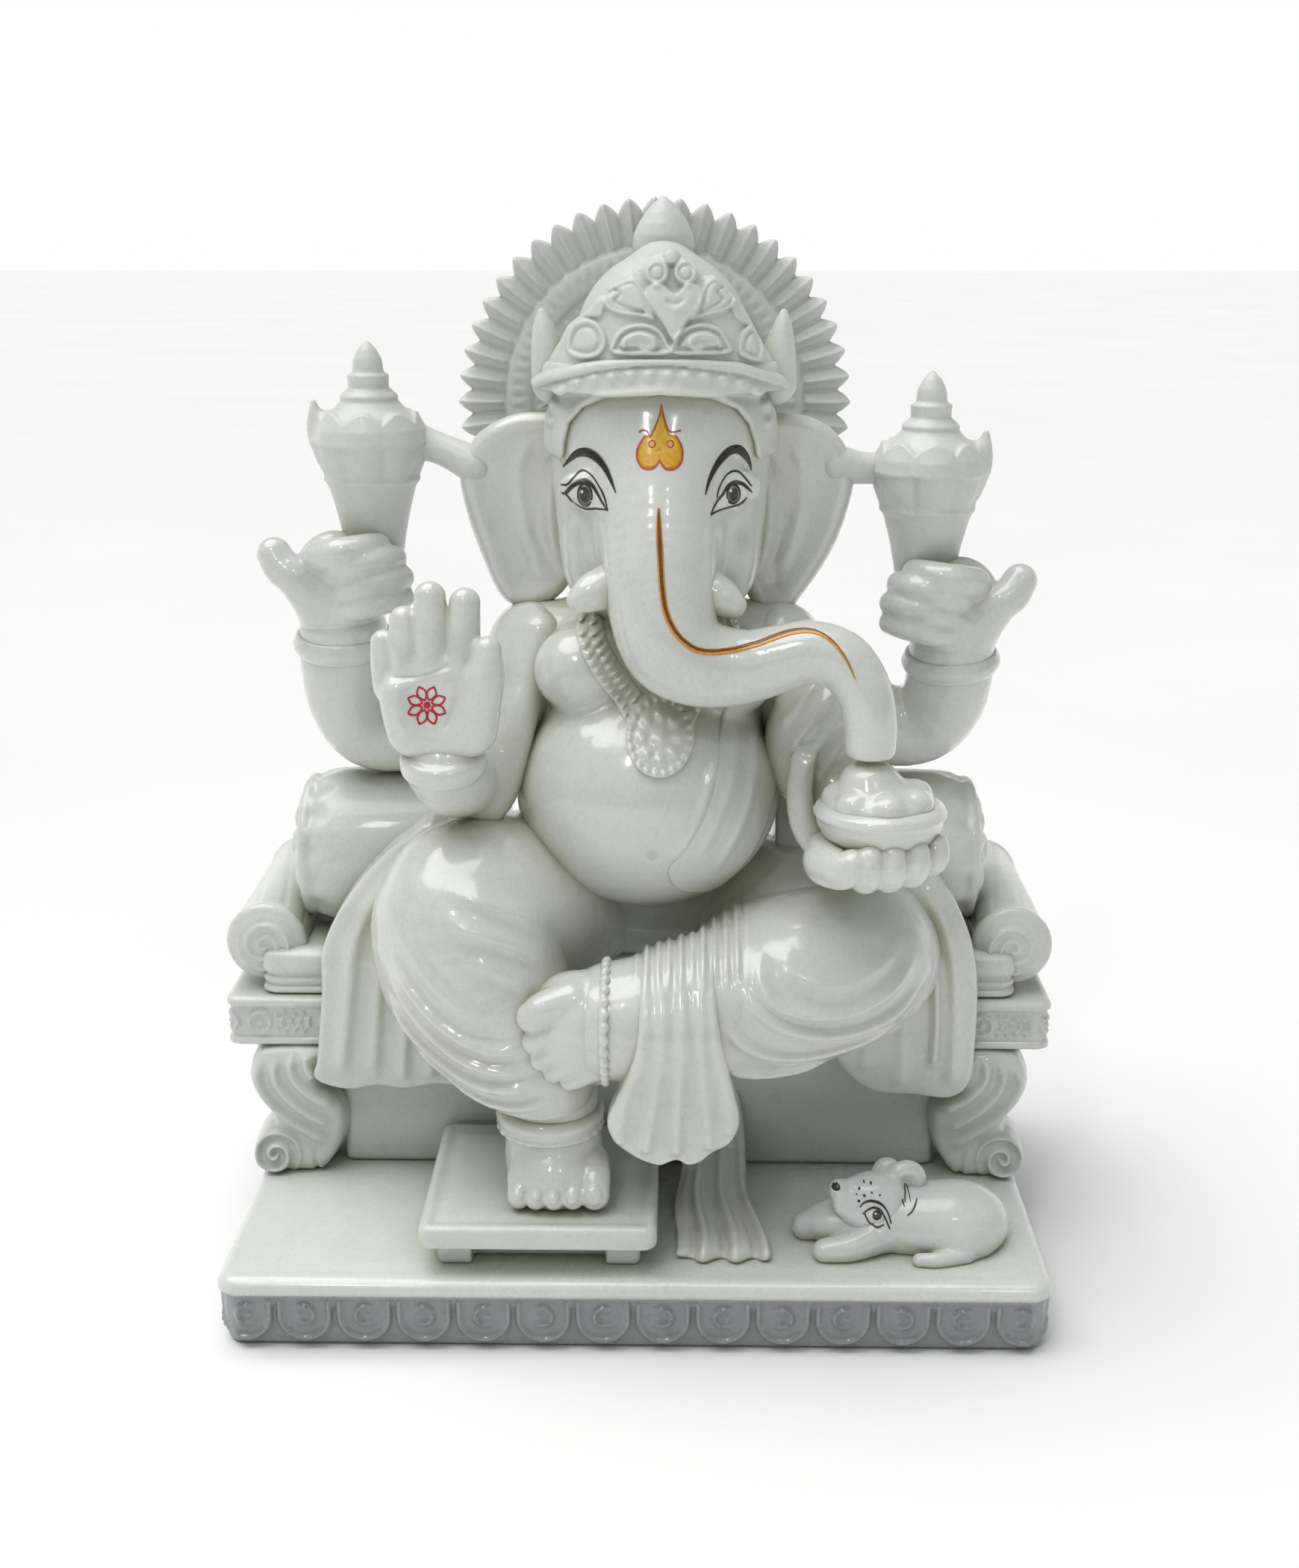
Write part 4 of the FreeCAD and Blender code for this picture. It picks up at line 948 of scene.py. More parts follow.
def f_hanging_foot(P):
    x, y, z = P[:, 0], P[:, 1], P[:, 2]
    d = cap(P, (-24, -42.5, 64), (-23, -43.5, 50), 13.6, 12.6)
    d = smin(d, cap(P, (-23, -46, 47), (-22.2, -53.5, 42.5), 12.5, 9.5), 5)
    d = smin(d, rbox(P, (-22.0, -52.2, 41.6), (13.2, 8.2, 5.8), 5.0), 5)
    for i, (tx, ty, tz, r) in enumerate(((-10.9, -60.6, 41.3, 4.2), (-16.8, -61.8, 41.0, 3.3), (-22.0, -61.9, 40.7, 3.2),
                                         (-27.0, -61.4, 40.4, 3.1), (-31.8, -60.2, 40.1, 3.2))):
        t = tube(P, [(tx * 0.9 - 2.2, -50, 45.5, r + 0.6), (tx, ty + 4.5, tz + 3.2, r + 0.1), (tx, ty, tz - 0.6, r)], 4)
        d = smin(d, t, 0.8)
    d = smax(d, 36.02 - z, 0.5)
    # nails
    for tx, ty, r in ((-10.9, -60.6, 4.2), (-16.8, -61.8, 3.3), (-22.0, -61.9, 3.2), (-27.0, -61.4, 3.1), (-31.8, -60.2, 3.2)):
        n = np.abs(np.sqrt((x - tx) ** 2 + ((z - 41.9) * 0.9) ** 2) - 0.62 * r)
        d = d + 0.28 * np.exp(-(n / 0.42) ** 2) * step(-y, -ty - 1.5, -ty + 0.5)
    return d


sculpt("hanging_foot", f_hanging_foot, (-44, -70, 35), (-2, -26, 70), 0.4, ["hanging_foot"])


def f_hanging_anklet(P):
    x, y, z = P[:, 0], P[:, 1], P[:, 2]
    Q = P - A(-24, -43, 57.2)
    rad = np.sqrt(Q[:, 0] ** 2 + Q[:, 1] ** 2)
    d = np.sqrt((rad - 13.4) ** 2 + (Q[:, 2] / 1.4) ** 2) - 1.9
    d = smin(d, np.sqrt((rad - 14.0) ** 2 + (Q[:, 2] + 3.2) ** 2) - 1.0, 0.8)
    a = np.arctan2(Q[:, 1], Q[:, 0])
    return d - 0.3 * (0.5 + 0.5 * np.cos(a * 26)) * np.exp(-((Q[:, 2] + 3.2) / 1.0) ** 2)


sculpt("hanging_anklet", f_hanging_anklet, (-42, -62, 51), (-6, -24, 63), 0.42, ["hanging_anklet"])


def f_folded_leg(P):
    x, y, z = P[:, 0], P[:, 1], P[:, 2]
    d = limb(P, catmull([(22, 5, 105, 20), (46, -6, 101, 22), (64.2, -18, 96.8, 22.6), (56, -31, 95.0, 22.4),
                         (38, -40.5, 92.6, 21.6), (20, -46, 90.6, 19.6), (4, -50, 89.0, 17.6), (-5, -51.2, 88.6, 16.4)], 4))
    d = smin(d, ell(P, (48, -30, 98), (32, 26, 19.5)), 8)
    front = step(-y, 14, 34)
    r = 1.5 * ridge(x, z, [(33.5, 113), (34.3, 103.2), (41.5, 97), (55.7, 94.2), (69.3, 98.4), (78.6, 106.5)], 1.8, ends=0.22)
    r += 1.4 * ridge(x, z, [(29.5, 107), (31.6, 99.0), (42.1, 91.0), (55.9, 87.4), (71, 90.5), (81.5, 99.5)], 1.9, ends=0.22)
    r += 1.3 * ridge(x, z, [(24.6, 98), (27.0, 90.4), (36.8, 83.2), (50.7, 80.9), (66, 84.2), (77, 92)], 1.9, ends=0.22)
    r += 1.2 * ridge(x, z, [(22.5, 91), (24.3, 83.4), (29.5, 76.2), (42.7, 73.9), (57, 78.2)], 1.9, ends=0.25)
    r += 0.8 * ridge(x, z, [(40, 113.5), (43.5, 105.8), (56, 102.6), (69, 107), (75, 113)], 2.0, ends=0.35)
    # narrow gathered pleats over the shin
    xs = np.clip((x + 1) / 33.0, 0, 1)
    win = step(x, -1.0, 1.2) * (1 - step(x, 27.0, 33.0))
    dens = 2 * math.pi * (x - 0.3) / 3.05
    fade = step(z, 100.5, 109.5)
    r += 0.62 * win * fade * (0.5 + 0.5 * np.cos(dens))
    return d - 1.6 * front * r


sculpt("folded_leg_dhoti", f_folded_leg, (-14, -72, 64), (92, 26, 124), 0.55, ["folded_leg"], slack=2.2)


def f_folded_anklet(P):
    # runs round the ankle, whose axis is along -X
    c = (-7.6, -51.4, 88.6)
    Q = P - A(*c)
    rad = np.sqrt(Q[:, 1] ** 2 + Q[:, 2] ** 2)
    d = np.sqrt((rad - 16.0) ** 2 + (Q[:, 0] + 0.02 * rad) ** 2) - 1.1
    a = np.arctan2(Q[:, 2], Q[:, 1])
    bead = np.sqrt((rad - 16.4) ** 2 + (Q[:, 0]) ** 2 + (16.2 * (((a / (2 * math.pi) * 30) % 1) - 0.5) * 2 * math.pi / 30) ** 2) - 1.35
    return smin(d, bead, 0.5)


sculpt("folded_anklet", f_folded_anklet, (-12, -72, 68), (-3, -31, 109), 0.38, ["folded_anklet"])


def f_folded_foot(P):
    x, y, z = P[:, 0], P[:, 1], P[:, 2]
    d = cap(P, (-6, -51, 89), (-14, -52, 88.5), 15.6, 13.6)
    d = smin(d, ell(P, (-17.5, -53, 88), (12.0, 9.2, 14.4)), 5)
    # heel of the sole hangs lower
    d = smin(d, ell(P, (-9.5, -52.5, 80.5), (10.0, 8.6, 9.5)), 4)
    toes = [[(-17, -57, 97.0, 5.4), (-23.5, -59.3, 95.8, 4.9), (-27.2, -60.0, 93.6, 4.4)],
            [(-17, -58.5, 90.5, 4.2), (-23, -60.2, 88.6, 3.8), (-26.8, -60.6, 86.6, 3.5)],
            [(-15.5, -58.8, 86.0, 4.0), (-21.5, -60.4, 83.6, 3.6), (-25.0, -60.6, 81.6, 3.3)],
            [(-13.0, -58.8, 82.0, 3.8), (-18.5, -60.2, 79.6, 3.4), (-21.8, -60.2, 77.8, 3.1)],
            [(-9.5, -58.4, 78.6, 3.6), (-14.4, -59.4, 76.2, 3.2), (-17.4, -59.2, 74.8, 2.9)]]
    for t in toes:
        d = smin(d, tube(P, t, 4), 1.1)
    return d


sculpt("folded_foot", f_folded_foot, (-36, -68, 66), (2, -34, 108), 0.4, ["folded_foot"])


# --------------------------------------------------------------------- cloth
def f_pleat(P):
    x, y, z = P[:, 0], P[:, 1], P[:, 2]
    loop = smooth_loop([(1.6, 117.5), (1.8, 108), (1.0, 89.0), (-3.8, 74.1), (-7.1, 65.1), (-5.2, 58.8), (-0.5, 54.6),
                        (3.2, 52.6), (7.1, 51.4), (9.6, 52.4), (11.9, 53.1), (14.7, 51.6), (18.2, 52.6),
                        (21.5, 55.6), (26.2, 58.6), (28.7, 65.0), (27.0, 74.4), (24.3, 86.2), (22.4, 96.5),
                        (21.4, 108), (21.2, 118.5), (11, 120)], 4)
    sd = poly_sd(x, z, loop)
    # follows the shin, then hangs straight from it
    yf = np.interp(z, [50, 60, 72, 80, 90, 100, 108, 114, 120], [-65.6, -66.2, -66.6, -67.6, -69.6, -69.4, -66.2, -61.5, -53.5]).astype(f32)
    r = np.zeros(x.shape, dtype=f32)
    for line, a in (([(7.2, 116), (7.7, 104), (7.7, 89.0), (5.4, 71.2), (3.2, 54.5)], 1.35),
                    ([(12.8, 117), (13.0, 104), (13.0, 89.1), (12.0, 71.2), (11.6, 54.0)], 1.45),
                    ([(17.5, 117), (17.8, 104), (18.3, 89.1), (19.4, 71.3), (20.8, 55.8)], 1.35),
                    ([(2.6, 112), (2.6, 89), (-1.6, 74), (-3.8, 63), (-2.6, 57.5)], 1.1),
                    ([(21.0, 104), (22.4, 86), (25.4, 72), (25.6, 60.5)], 1.0)):
        w = 1.9
        r = np.maximum(r, a * ridge(x, z, line, w, ends=0.05))
    grow = np.interp(z, [50, 70, 92, 104, 116], [1.45, 1.3, 0.85, 0.55, 0.4])
    front = yf + 1.2 - r * grow
    back = np.interp(z, [50, 62, 78, 90], [-58.5, -58.0, -55.0, -50])
    slab = smax(np.maximum(front - y, y - back) * 0.86, z - 97, 12.0)
    # over the shin it is only a thin run of gathers laid on the leg
    thin = np.interp(z, [88, 96, 106, 117], [1.5, 1.1, 0.75, 0.35]).astype(f32)
    shell = np.maximum(f_folded_leg(P) - thin - 0.8 * r * grow, y + 30)
    shell = smax(shell, 77.0 - z, 6.0)
    return smax(smin(slab, shell, 5.0), sd * 0.95, 1.6)


sculpt("front_pleat_fan", f_pleat, (-10, -72, 49), (32, -46, 122), 0.46, ["front_pleat"], slack=2.2)


def drape(name, node, loop, yfront, ridges, top_back):
    loop = smooth_loop(loop, 4)
    def f(P):
        x, y, z = P[:, 0], P[:, 1], P[:, 2]
        sd = poly_sd(x, z, loop)
        r = np.zeros(x.shape, dtype=f32)
        for line, a, w in ridges:
            r += 1.35 * a * ridge(x, z, line, w, ends=0.12)
        yf = np.interp(z, [48, 62, 80, 95, 110, 125], yfront).astype(f32)
        front = yf - r
        back = np.interp(z, [48, 61.9, 62, 92, 93, 110, 125], [-9, -9, -13, -13, -9, top_back, top_back]).astype(f32)
        d = np.maximum(front - y, y - back) * 0.85
        return smax(d, sd * 0.95, 2.0)
    xs = [p[0] for p in loop]
    zs = [p[1] for p in loop]
    sculpt(name, f, (min(xs) - 2, -34, min(zs) - 2), (max(xs) + 2, 14, max(zs) + 2), 0.55, [node], slack=2.2)


drape("drape_left_cloth", "drape_left",
      [(-56, 131), (-66, 128.5), (-75.5, 121), (-84.4, 110), (-90.6, 97.1), (-92.0, 82), (-94.4, 62), (-95.4, 54.5), (-86.0, 51.2),
       (-77, 52.6), (-69.3, 51.6), (-60, 53.2), (-53, 53.4), (-44, 62), (-44, 90)],
      [-19.5, -20, -20.5, -22, -21, -16],
      [([(-60, 127), (-71, 117), (-80, 103), (-83.5, 85), (-86, 66), (-88, 54)], 1.5, 2.4),
       ([(-56, 122), (-66, 109), (-73.5, 92), (-76.5, 72), (-78, 54)], 1.3, 2.3),
       ([(-66, 88), (-68, 72), (-69, 54)], 1.1, 2.0),
       ([(-58, 80), (-60, 68), (-61, 55)], 0.9, 1.8)], 6)
drape("drape_right_cloth", "drape_right",
      [(72, 122), (80.5, 121.5), (89.5, 114), (95.8, 101), (98.6, 85), (99.0, 68), (98.2, 55), (92.4, 49.6), (82, 50.6),
       (70.3, 51.6), (61.0, 58.5), (56, 70), (56, 95), (66, 112)],
      [-19.0, -19.5, -20.5, -22, -20.5, -15],
      [([(80, 117), (86.8, 108), (90.6, 95), (92.4, 79), (92.6, 62), (91, 53)], 1.5, 2.2),
       ([(84.8, 97), (86.0, 88), (87.0, 74), (86.6, 59)], 1.6, 1.5),
       ([(76, 92), (77.5, 76), (77.6, 60), (76, 52)], 1.0, 2.2),
       ([(66, 84), (67, 70), (66.5, 58)], 0.8, 2.0)], 6)


def f_floor_drape(P):
    x, y, z = P[:, 0], P[:, 1], P[:, 2]
    # falls steeply from the seat, then spreads towards the plinth's edge
    t = np.clip((-y - 9) / 55, 0, 1.05)
    top = 21.5 + np.interp(-y, [8, 14, 19, 26, 36, 50, 62, 66], [26, 19, 12, 8.4, 6.0, 4.2, 3.0, 2.2]).astype(f32)
    xl = 13.0 - 2.6 * t + 0.8 * np.sin(t * 9)
    xr = 30.5 + 8.0 * t + 0.9 * np.sin(t * 8 + 1)
    u = (x - xl) / (xr - xl)
    folds = 1.5 * np.cos(u * 2 * math.pi * 3.1 + 0.4 + 0.5 * np.sin(t * 5)) + 0.5 * np.cos(u * 2 * math.pi * 6.4 + 1.0)
    side = np.maximum(xl - x, x - xr)
    d = np.maximum(z - (top + folds * (0.35 + 0.65 * t)), 21.0 - z) * 0.84
    d = smax(d, side, 4.6)
    hem = 64.4 + 1.2 * np.cos(u * 2 * math.pi * 3.1 + 0.4)
    return smax(smax(d, y + 8.0, 0.5), -y - hem, 4.2)


sculpt("floor_drape", f_floor_drape, (6, -70, 20.5), (44, -6, 50), 0.5, ["floor_drape"])


# --------------------------------------------------------------------- mouse
def f_mouse_body(P):
    x, y, z = P[:, 0], P[:, 1], P[:, 2]
    d = ell(P, (84.5, -49, 27.0), (18.5, 12.5, 10.6))
    d = smin(d, ell(P, (93.5, -48, 26.0), (11.8, 12.2, 10.2)), 5)
    d = smin(d, ell(P, (70, -49, 27.5), (12, 9.5, 9.0)), 6)
    d = smin(d, ell(P, (92, -56, 25.0), (8.6, 6.4, 6.4)), 2.0)      # haunch
    d = smin(d, tube(P, [(92, -61, 22.8, 2.6), (84, -63.5, 22.8, 2.3), (79, -63.6, 22.8, 2.0)]), 1.2)
    d = smin(d, ell(P, (61, -49, 26.4), (13.0, 8.6, 6.4)), 4)
    d = smin(d, tube(P, [(68, -56, 26.0, 5.2), (60, -60.0, 24.6, 4.2), (53.0, -61.0, 24.0, 3.4)]), 1.6)
    d = smin(d, tube(P, [(62, -47, 26.6, 5.6), (54, -47.5, 25.4, 4.8), (48.5, -48.8, 24.6, 4.0)]), 2.0)
    d = smin(d, tube(P, [(101, -44, 24, 3.0), (104, -38, 23.2, 2.2), (98, -32, 22.9, 1.7), (88, -30.5, 22.8, 1.2)]), 1.4)
    return smax(d, 21.4 - z, 0.6)


sculpt("mouse_body", f_mouse_body, (42, -68, 20.5), (108, -26, 41), 0.48, ["mouse_body"])


def f_mouse_head(P):
    d = ell(P, (68.0, -50, 33.2), (9.4, 8.4, 8.4))
    d = smin(d, cap(P, (64, -51, 35.0), (57.8, -53.0, 38.2), 6.4, 3.4), 3.0)
    d = smin(d, ell(P, (56.6, -54, 39.8), (2.0, 2.4, 1.9)), 1.2)
    d = smin(d, tube(P, [(63, -54.5, 31.5, 4.2), (58.4, -55, 34.6, 2.8)]), 2.2)
    # one rounded ear lobe lies back, with a shallow hollow
    ear = smax(ell(P, (76.2, -47.2, 38.0), (6.2, 3.4, 6.6), rotm(0, 12, 8)),
               -ell(P, (76.6, -51.2, 38.0), (3.9, 2.4, 4.4), rotm(0, 12, 8)), 1.2)
    d = smin(d, ear, 1.4)
    d = smin(d, ell(P, (71.5, -43.4, 39.0), (4.2, 2.8, 4.4)), 2.0)
    return d


sculpt("mouse_head", f_mouse_head, (51, -62, 24), (84, -36, 45), 0.36, ["mouse_head"])


# ---------------------------------------------------------------- plinth
def rect2(X, Y, hx, hy, r):
    qx, qy = np.abs(X) - (hx - r), np.abs(Y) - (hy - r)
    return (np.sqrt(np.maximum(qx, 0) ** 2 + np.maximum(qy, 0) ** 2)
            + np.minimum(np.maximum(qx, qy), 0) - r)


def petal_band(s, z, z0, z1, pitch):
    """U-shaped lotus petals hanging in a band; 0..1 relief."""
    k = np.floor(s / pitch)
    u = s - (k + 0.5) * pitch
    hz = z1 - z0
    zz = np.minimum(z - (z0 + 0.56 * hz), 0)
    q = np.sqrt((u / (0.455 * pitch)) ** 2 + (zz / (0.56 * hz)) ** 2)
    rim = np.exp(-(((q - 0.92) * 0.455 * pitch) / 0.85) ** 2)
    body = step(1 - q, 0.0, 0.25) * 0.35
    # curled inner leaf
    sgn = np.where((k.astype(int) % 2) == 0, 1.0, -1.0)
    v = u * sgn
    q2 = np.sqrt(((v + 0.6) / (0.23 * pitch)) ** 2 + ((z - (z0 + 0.60 * hz)) / (0.26 * hz)) ** 2)
    curl = np.exp(-(((q2 - 0.8) * 0.23 * pitch) / 0.62) ** 2) * step(v, -4.5, 1.0)
    eye = np.exp(-((v + 1.3) ** 2 + (z - (z0 + 0.60 * hz)) ** 2) / 1.3)
    dart = np.exp(-((np.abs(u) - 0.5 * pitch) / 0.7) ** 2) * step(z, z0 + 0.62 * hz, z0 + 0.95 * hz)
    win = step(z, z0 - 0.6, z0 + 0.3) * (1 - step(z, z1 - 0.8, z1 + 0.3))
    return np.clip(np.maximum(rim, np.maximum(curl * 0.8, np.maximum(eye * 0.7, dart * 0.6))) + body, 0, 1.15) * win


def f_plinth(P):
    x, y, z = P[:, 0], P[:, 1], P[:, 2]
    d2 = rect2(x, y, 115, 75, 7.0)
    inset = np.interp(z, [0, 1.6, 3.0, 15.6, 16.8, 18.0, 21.5],
                      [3.6, 2.3, 2.2, 2.2, 0.25, 0.0, 0.0]).astype(f32)
    side = np.abs(x) - 108 > np.abs(y) - 68
    s = np.where(side, y, x)
    rel = petal_band(s, z, 2.6, 15.9, 16.4)
    d = d2 + inset - 1.75 * rel * np.where(side, step(72 - np.abs(y), 0, 4), step(112 - np.abs(x), 0, 4))
    # the deck swells a little and its lip rolls over
    top = 21.0 + 0.5 * np.exp(-(np.maximum(d2 + 9, 0) / 7.0) ** 2) - 0.25 * np.exp(-((d2 + 6.5) / 2.2) ** 2)
    d = smax(d, z - top, 4.2)
    return smax(d, 0.0 - z, 1.2)


sculpt("plinth_carved", f_plinth, (-116, -76, -1), (116, 76, 23), 0.74, ["plinth"], slack=2.4)


# ---------------------------------------------------------------- throne body
def f_panel(P):
    x, y, z = P[:, 0], P[:, 1], P[:, 2]
    d = rbox(P, (0, 26, 41.75), (90, 34, 20.25), 2.5)
    # slow swelling of the drawn-in front and a plain border to the back
    back = step(y, 52, 58)
    fr = np.minimum(np.minimum(89 - np.abs(x), z - 22.5), 61 - z)
    d = d + 0.9 * back * step(fr, 5.5, 7.0) * (1 - step(fr, 8.2, 9.2))
    return d + 0.35 * np.exp(-((z - 41 - 0.02 * x) / 12) ** 2) * step(-y, -6, 6)


sculpt("throne_panel_block", f_panel, (-92, -10, 20.5), (92, 62, 63), 1.0, ["throne_panel"], slack=2.0)


def leg(name, s, y0, node):
    face = -1.0 if y0 < 20 else 1.0
    LOOP = smooth_loop([(93, 62.6), (111.0, 62.6), (115.4, 58), (117.0, 52.5), (115.0, 46.5), (111.5, 41.5),
                        (110.6, 36.8), (113.8, 33.6), (116.6, 29.5), (116.4, 23.5), (110, 21.0), (103, 20.8),
                        (95.6, 21.2), (91.0, 26.5), (88.0, 33.5), (87.6, 41), (90.6, 46.8), (95.0, 50.8), (94.4, 56)], 4)
    def f(P):
        X, Y, z = P[:, 0] * s, (P[:, 1] - y0) * face, P[:, 2]
        sd = poly_sd(X, z, LOOP)
        rib = np.zeros(X.shape, dtype=f32)
        # ribs sweep from the knee down and inwards, like a wing
        for line in ([(112.2, 59.5), (113.6, 53), (111.0, 45.6), (105.0, 38.8), (97.5, 33.5), (92.5, 30.5)],
                     [(107.8, 60.3), (108.4, 53), (105.0, 46.6), (98.6, 40.6), (91.5, 36.8)],
                     [(103.2, 60.8), (103.2, 54), (99.6, 48.8), (94.6, 45.2), (90.2, 43.2)],
                     [(98.6, 60.8), (98.4, 56), (96.2, 52.6)]):
            rib = np.maximum(rib, ridge(X, z, line, 1.55, ends=0.14))
        # scrolled foot
        cx, cz = 109.5, 27.6
        rr = np.sqrt((X - cx) ** 2 + (z - cz) ** 2)
        a = np.arctan2(z - cz, X - cx)
        spiral = (rr - 0.62 * (a + math.pi)) / 3.9
        sp = np.exp(-(((spiral - np.round(spiral)) * 3.9) / 0.85) ** 2) * step(8.4 - rr, 0, 2)
        rib = np.maximum(rib, sp)
        toes = np.exp(-((np.abs(X - 97.5) - 0.2) / 0.6) ** 2) * (1 - step(z, 27, 31))
        half = np.interp(z, [21, 26, 34, 46, 56, 62], [11.4, 11.2, 9.6, 10.8, 11.0, 11.0]).astype(f32)
        d = (np.abs(Y) - half) * 0.9
        d = smax(d, sd, 3.6)
        return smax(d - 1.7 * (rib - 0.5) * step(Y, 2, 6) + 0.5 * toes * step(Y, 2, 6), 21.4 - z, 0.4)
    def g(P):
        return f(P)
    x0, x1 = sorted((s * 84.5, s * 119))
    sculpt(name, g, (x0, y0 - 13.5, 20.5), (x1, y0 + 13.5, 63.5), 0.52, [node], slack=2.4)


leg("leg_carved_front_left", -1, -4.5, "throne_leg_front_left")
leg("leg_carved_front_right", 1, -4.5, "throne_leg_front_right")
leg("leg_carved_rear_left", -1, 55.0, "throne_leg_rear_left")
leg("leg_carved_rear_right", 1, 55.0, "throne_leg_rear_right")


# ---------------------------------------------------------------- seat slab
def frieze(s, z):
    """Ring and zig-zag band, 0..1 relief; s along the face."""
    pitch = 21.0
    u = (s + 500 * pitch) % pitch - pitch / 2
    c = np.sqrt((u + 5.4) ** 2 + (z - 70.0) ** 2)
    ring = np.exp(-((c - 3.1) / 0.62) ** 2) + np.exp(-(c / 1.0) ** 2)
    zz = 70.0 + 3.0 * (2 * np.abs(((u + 0.4) / 5.4) % 1 - 0.5) * 2 - 1) * 1.0
    zig = np.exp(-((z - zz) / 0.75) ** 2) * step(u, -1.2, -0.2) * (1 - step(u, 9.4, 10.2))
    zig2 = np.exp(-((z - (140.0 - zz)) / 0.75) ** 2) * step(u, -1.2, -0.2) * (1 - step(u, 9.4, 10.2))
    return np.clip(ring + np.maximum(zig, zig2), 0, 1)


def f_slab(P):
    x, y, z = P[:, 0], P[:, 1], P[:, 2]
    d2 = rect2(x, y - 26.5, 122.5, 39.5, 4.0)
    inset = np.interp(z, [62, 63.2, 64.6, 65.2, 74.6, 75.2, 76.0, 77.0, 78.0],
                      [1.8, 0.3, 0.2, 1.2, 1.2, 0.3, 0.1, 0.3, 1.4]).astype(f32)
    side = np.abs(x) - 118 > np.abs(y - 26.5) - 35
    s = np.where(side, y + 7, x + 8.6 * np.sign(x))
    rel = frieze(s, z) * step(z, 65.0, 65.8) * (1 - step(z, 74.0, 74.8))
    d = d2 + inset - 1.1 * rel
    d = smax(d, z - 78.0, 1.2)
    return smax(d, 62.0 - z, 1.2)


sculpt("seat_slab_carved", f_slab, (-124, -15, 61), (124, 68, 79), 0.68, ["seat_slab"], slack=2.0)


def f_mattress(P):
    x, y, z = P[:, 0], P[:, 1], P[:, 2]
    d2 = rect2(x, y - 26.5, 112, 37.5, 5.0)
    inset = np.interp(z, [78, 79.0, 80.2, 81.0, 81.8, 83.2, 84.0, 84.8, 86, 88.6, 90.6, 92],
                      [1.6, 0.2, 0.5, 1.5, 0.6, 0.3, 1.5, 0.6, 0.1, 0.3, 1.2, 3.4]).astype(f32)
    return smax(smax(d2 + inset, z - 92.0, 1.6), 78.0 - z, 0.8)


sculpt("seat_mattress_soft", f_mattress, (-114, -13, 77), (114, 66, 93.5), 0.75, ["seat_mattress"], slack=2.2)


def roll(name, s, node):
    cx, cz, R = s * 110.5, 92.5, 11.4
    def f(P):
        X, y, z = (P[:, 0] - cx) * s, P[:, 1], P[:, 2] - cz
        rad = np.sqrt(X ** 2 + z ** 2)
        h = np.abs(y - 27.5) - 35.4
        d = smax(rad - R, h, 6.0)
        # piped rims and the scroll carved in each end
        d = smin(d, np.sqrt((rad - (R - 1.3)) ** 2 + (np.abs(y - 27.5) - 31.5) ** 2) - 1.9, 0.9)
        a = np.arctan2(z, X)
        sp = (rad - 0.56 * (a + math.pi)) / 3.5
        line = np.exp(-(((sp - np.round(sp)) * 3.5) / 0.75) ** 2) * step(8.8 - rad, 0, 1.2)
        d = d - 0.8 * (line - 0.3) * step(h, -3.0, -0.5)
        # soft lengthwise creases
        d = d + 0.28 * np.exp(-(((a / (2 * math.pi) * 9 + 0.02 * (y - 20)) % 1 - 0.5) / 0.10) ** 2) * (1 - step(h, -10, -5))
        return smax(d, (cz - 0 + 0) * 0 + (81.2 - cz) - z, 0.6)
    sculpt(name, f, (cx - 13, -10, 80), (cx + 13, 65, 105.5), 0.55, [node], slack=2.0)


roll("armrest_roll_carved_left", -1, "armrest_roll_left")
roll("armrest_roll_carved_right", 1, "armrest_roll_right")


def bolster(name, s, node):
    cy, cz, R = 17.0, 116.0, 23.9
    def f(P):
        X, y, z = P[:, 0] * s, P[:, 1] - cy, P[:, 2] - cz
        rad = np.sqrt(y ** 2 + z ** 2)
        bulge = R - 1.8 * ((X - 73) / 33) ** 2
        d = smax(rad - bulge, X - 103.4 + 0.004 * rad ** 2, 13.0)
        d = smin(d, np.sqrt((rad - 19.9) ** 2 + (X - 98.6) ** 2) - 1.7, 1.6)
        a = np.arctan2(z, y)
        # pleats drawn in to the rosette of the end
        endz = step(X, 97, 101)
        d = d - 0.55 * endz * np.cos(a * 12) * step(rad, 6, 12) * (1 - step(rad, 17, 20))
        d = smin(d, ell(P, (s * 103.0, cy, cz), (2.8, 5.2, 5.2)), 1.2)
        # gathers that run on to the cylinder from the piping
        d = d - 0.35 * np.cos(a * 14 + 0.6) * np.exp(-((X - 94.5) / 3.6) ** 2)
        d = smax(d, 40.2 - X, 1.5)
        return smax(d, 92.05 - (z + cz), 1.0)
    x0, x1 = sorted((s * 38, s * 108))
    sculpt(name, f, (x0, -9, 90.5), (x1, 43, 142), 0.62, [node], slack=2.2)


bolster("bolster_carved_left", -1, "bolster_left")
bolster("bolster_carved_right", 1, "bolster_right")


# ---------------------------------------------------------------- footstool
def f_stool(P):
    x, y, z = P[:, 0], P[:, 1], P[:, 2]
    d2 = rect2(x + 26.25, y + 39.6, 32.75, 31.4, 4.0)
    top = 35.6 - 0.5 * np.exp(-((d2 + 5.0) / 2.2) ** 2) + 0.25 * np.exp(-((d2 + 2.2) / 1.4) ** 2)
    under = 29.0 + 1.8 * np.cos((x + 26.25) / 33 * math.pi) * 0.0
    d = smax(smax(d2, z - top, 2.6), under - z, 1.6)
    return d


sculpt("footstool_slab", f_stool, (-60.5, -72.5, 28), (8, -7, 37), 0.5, ["footstool_top"], slack=1.6)


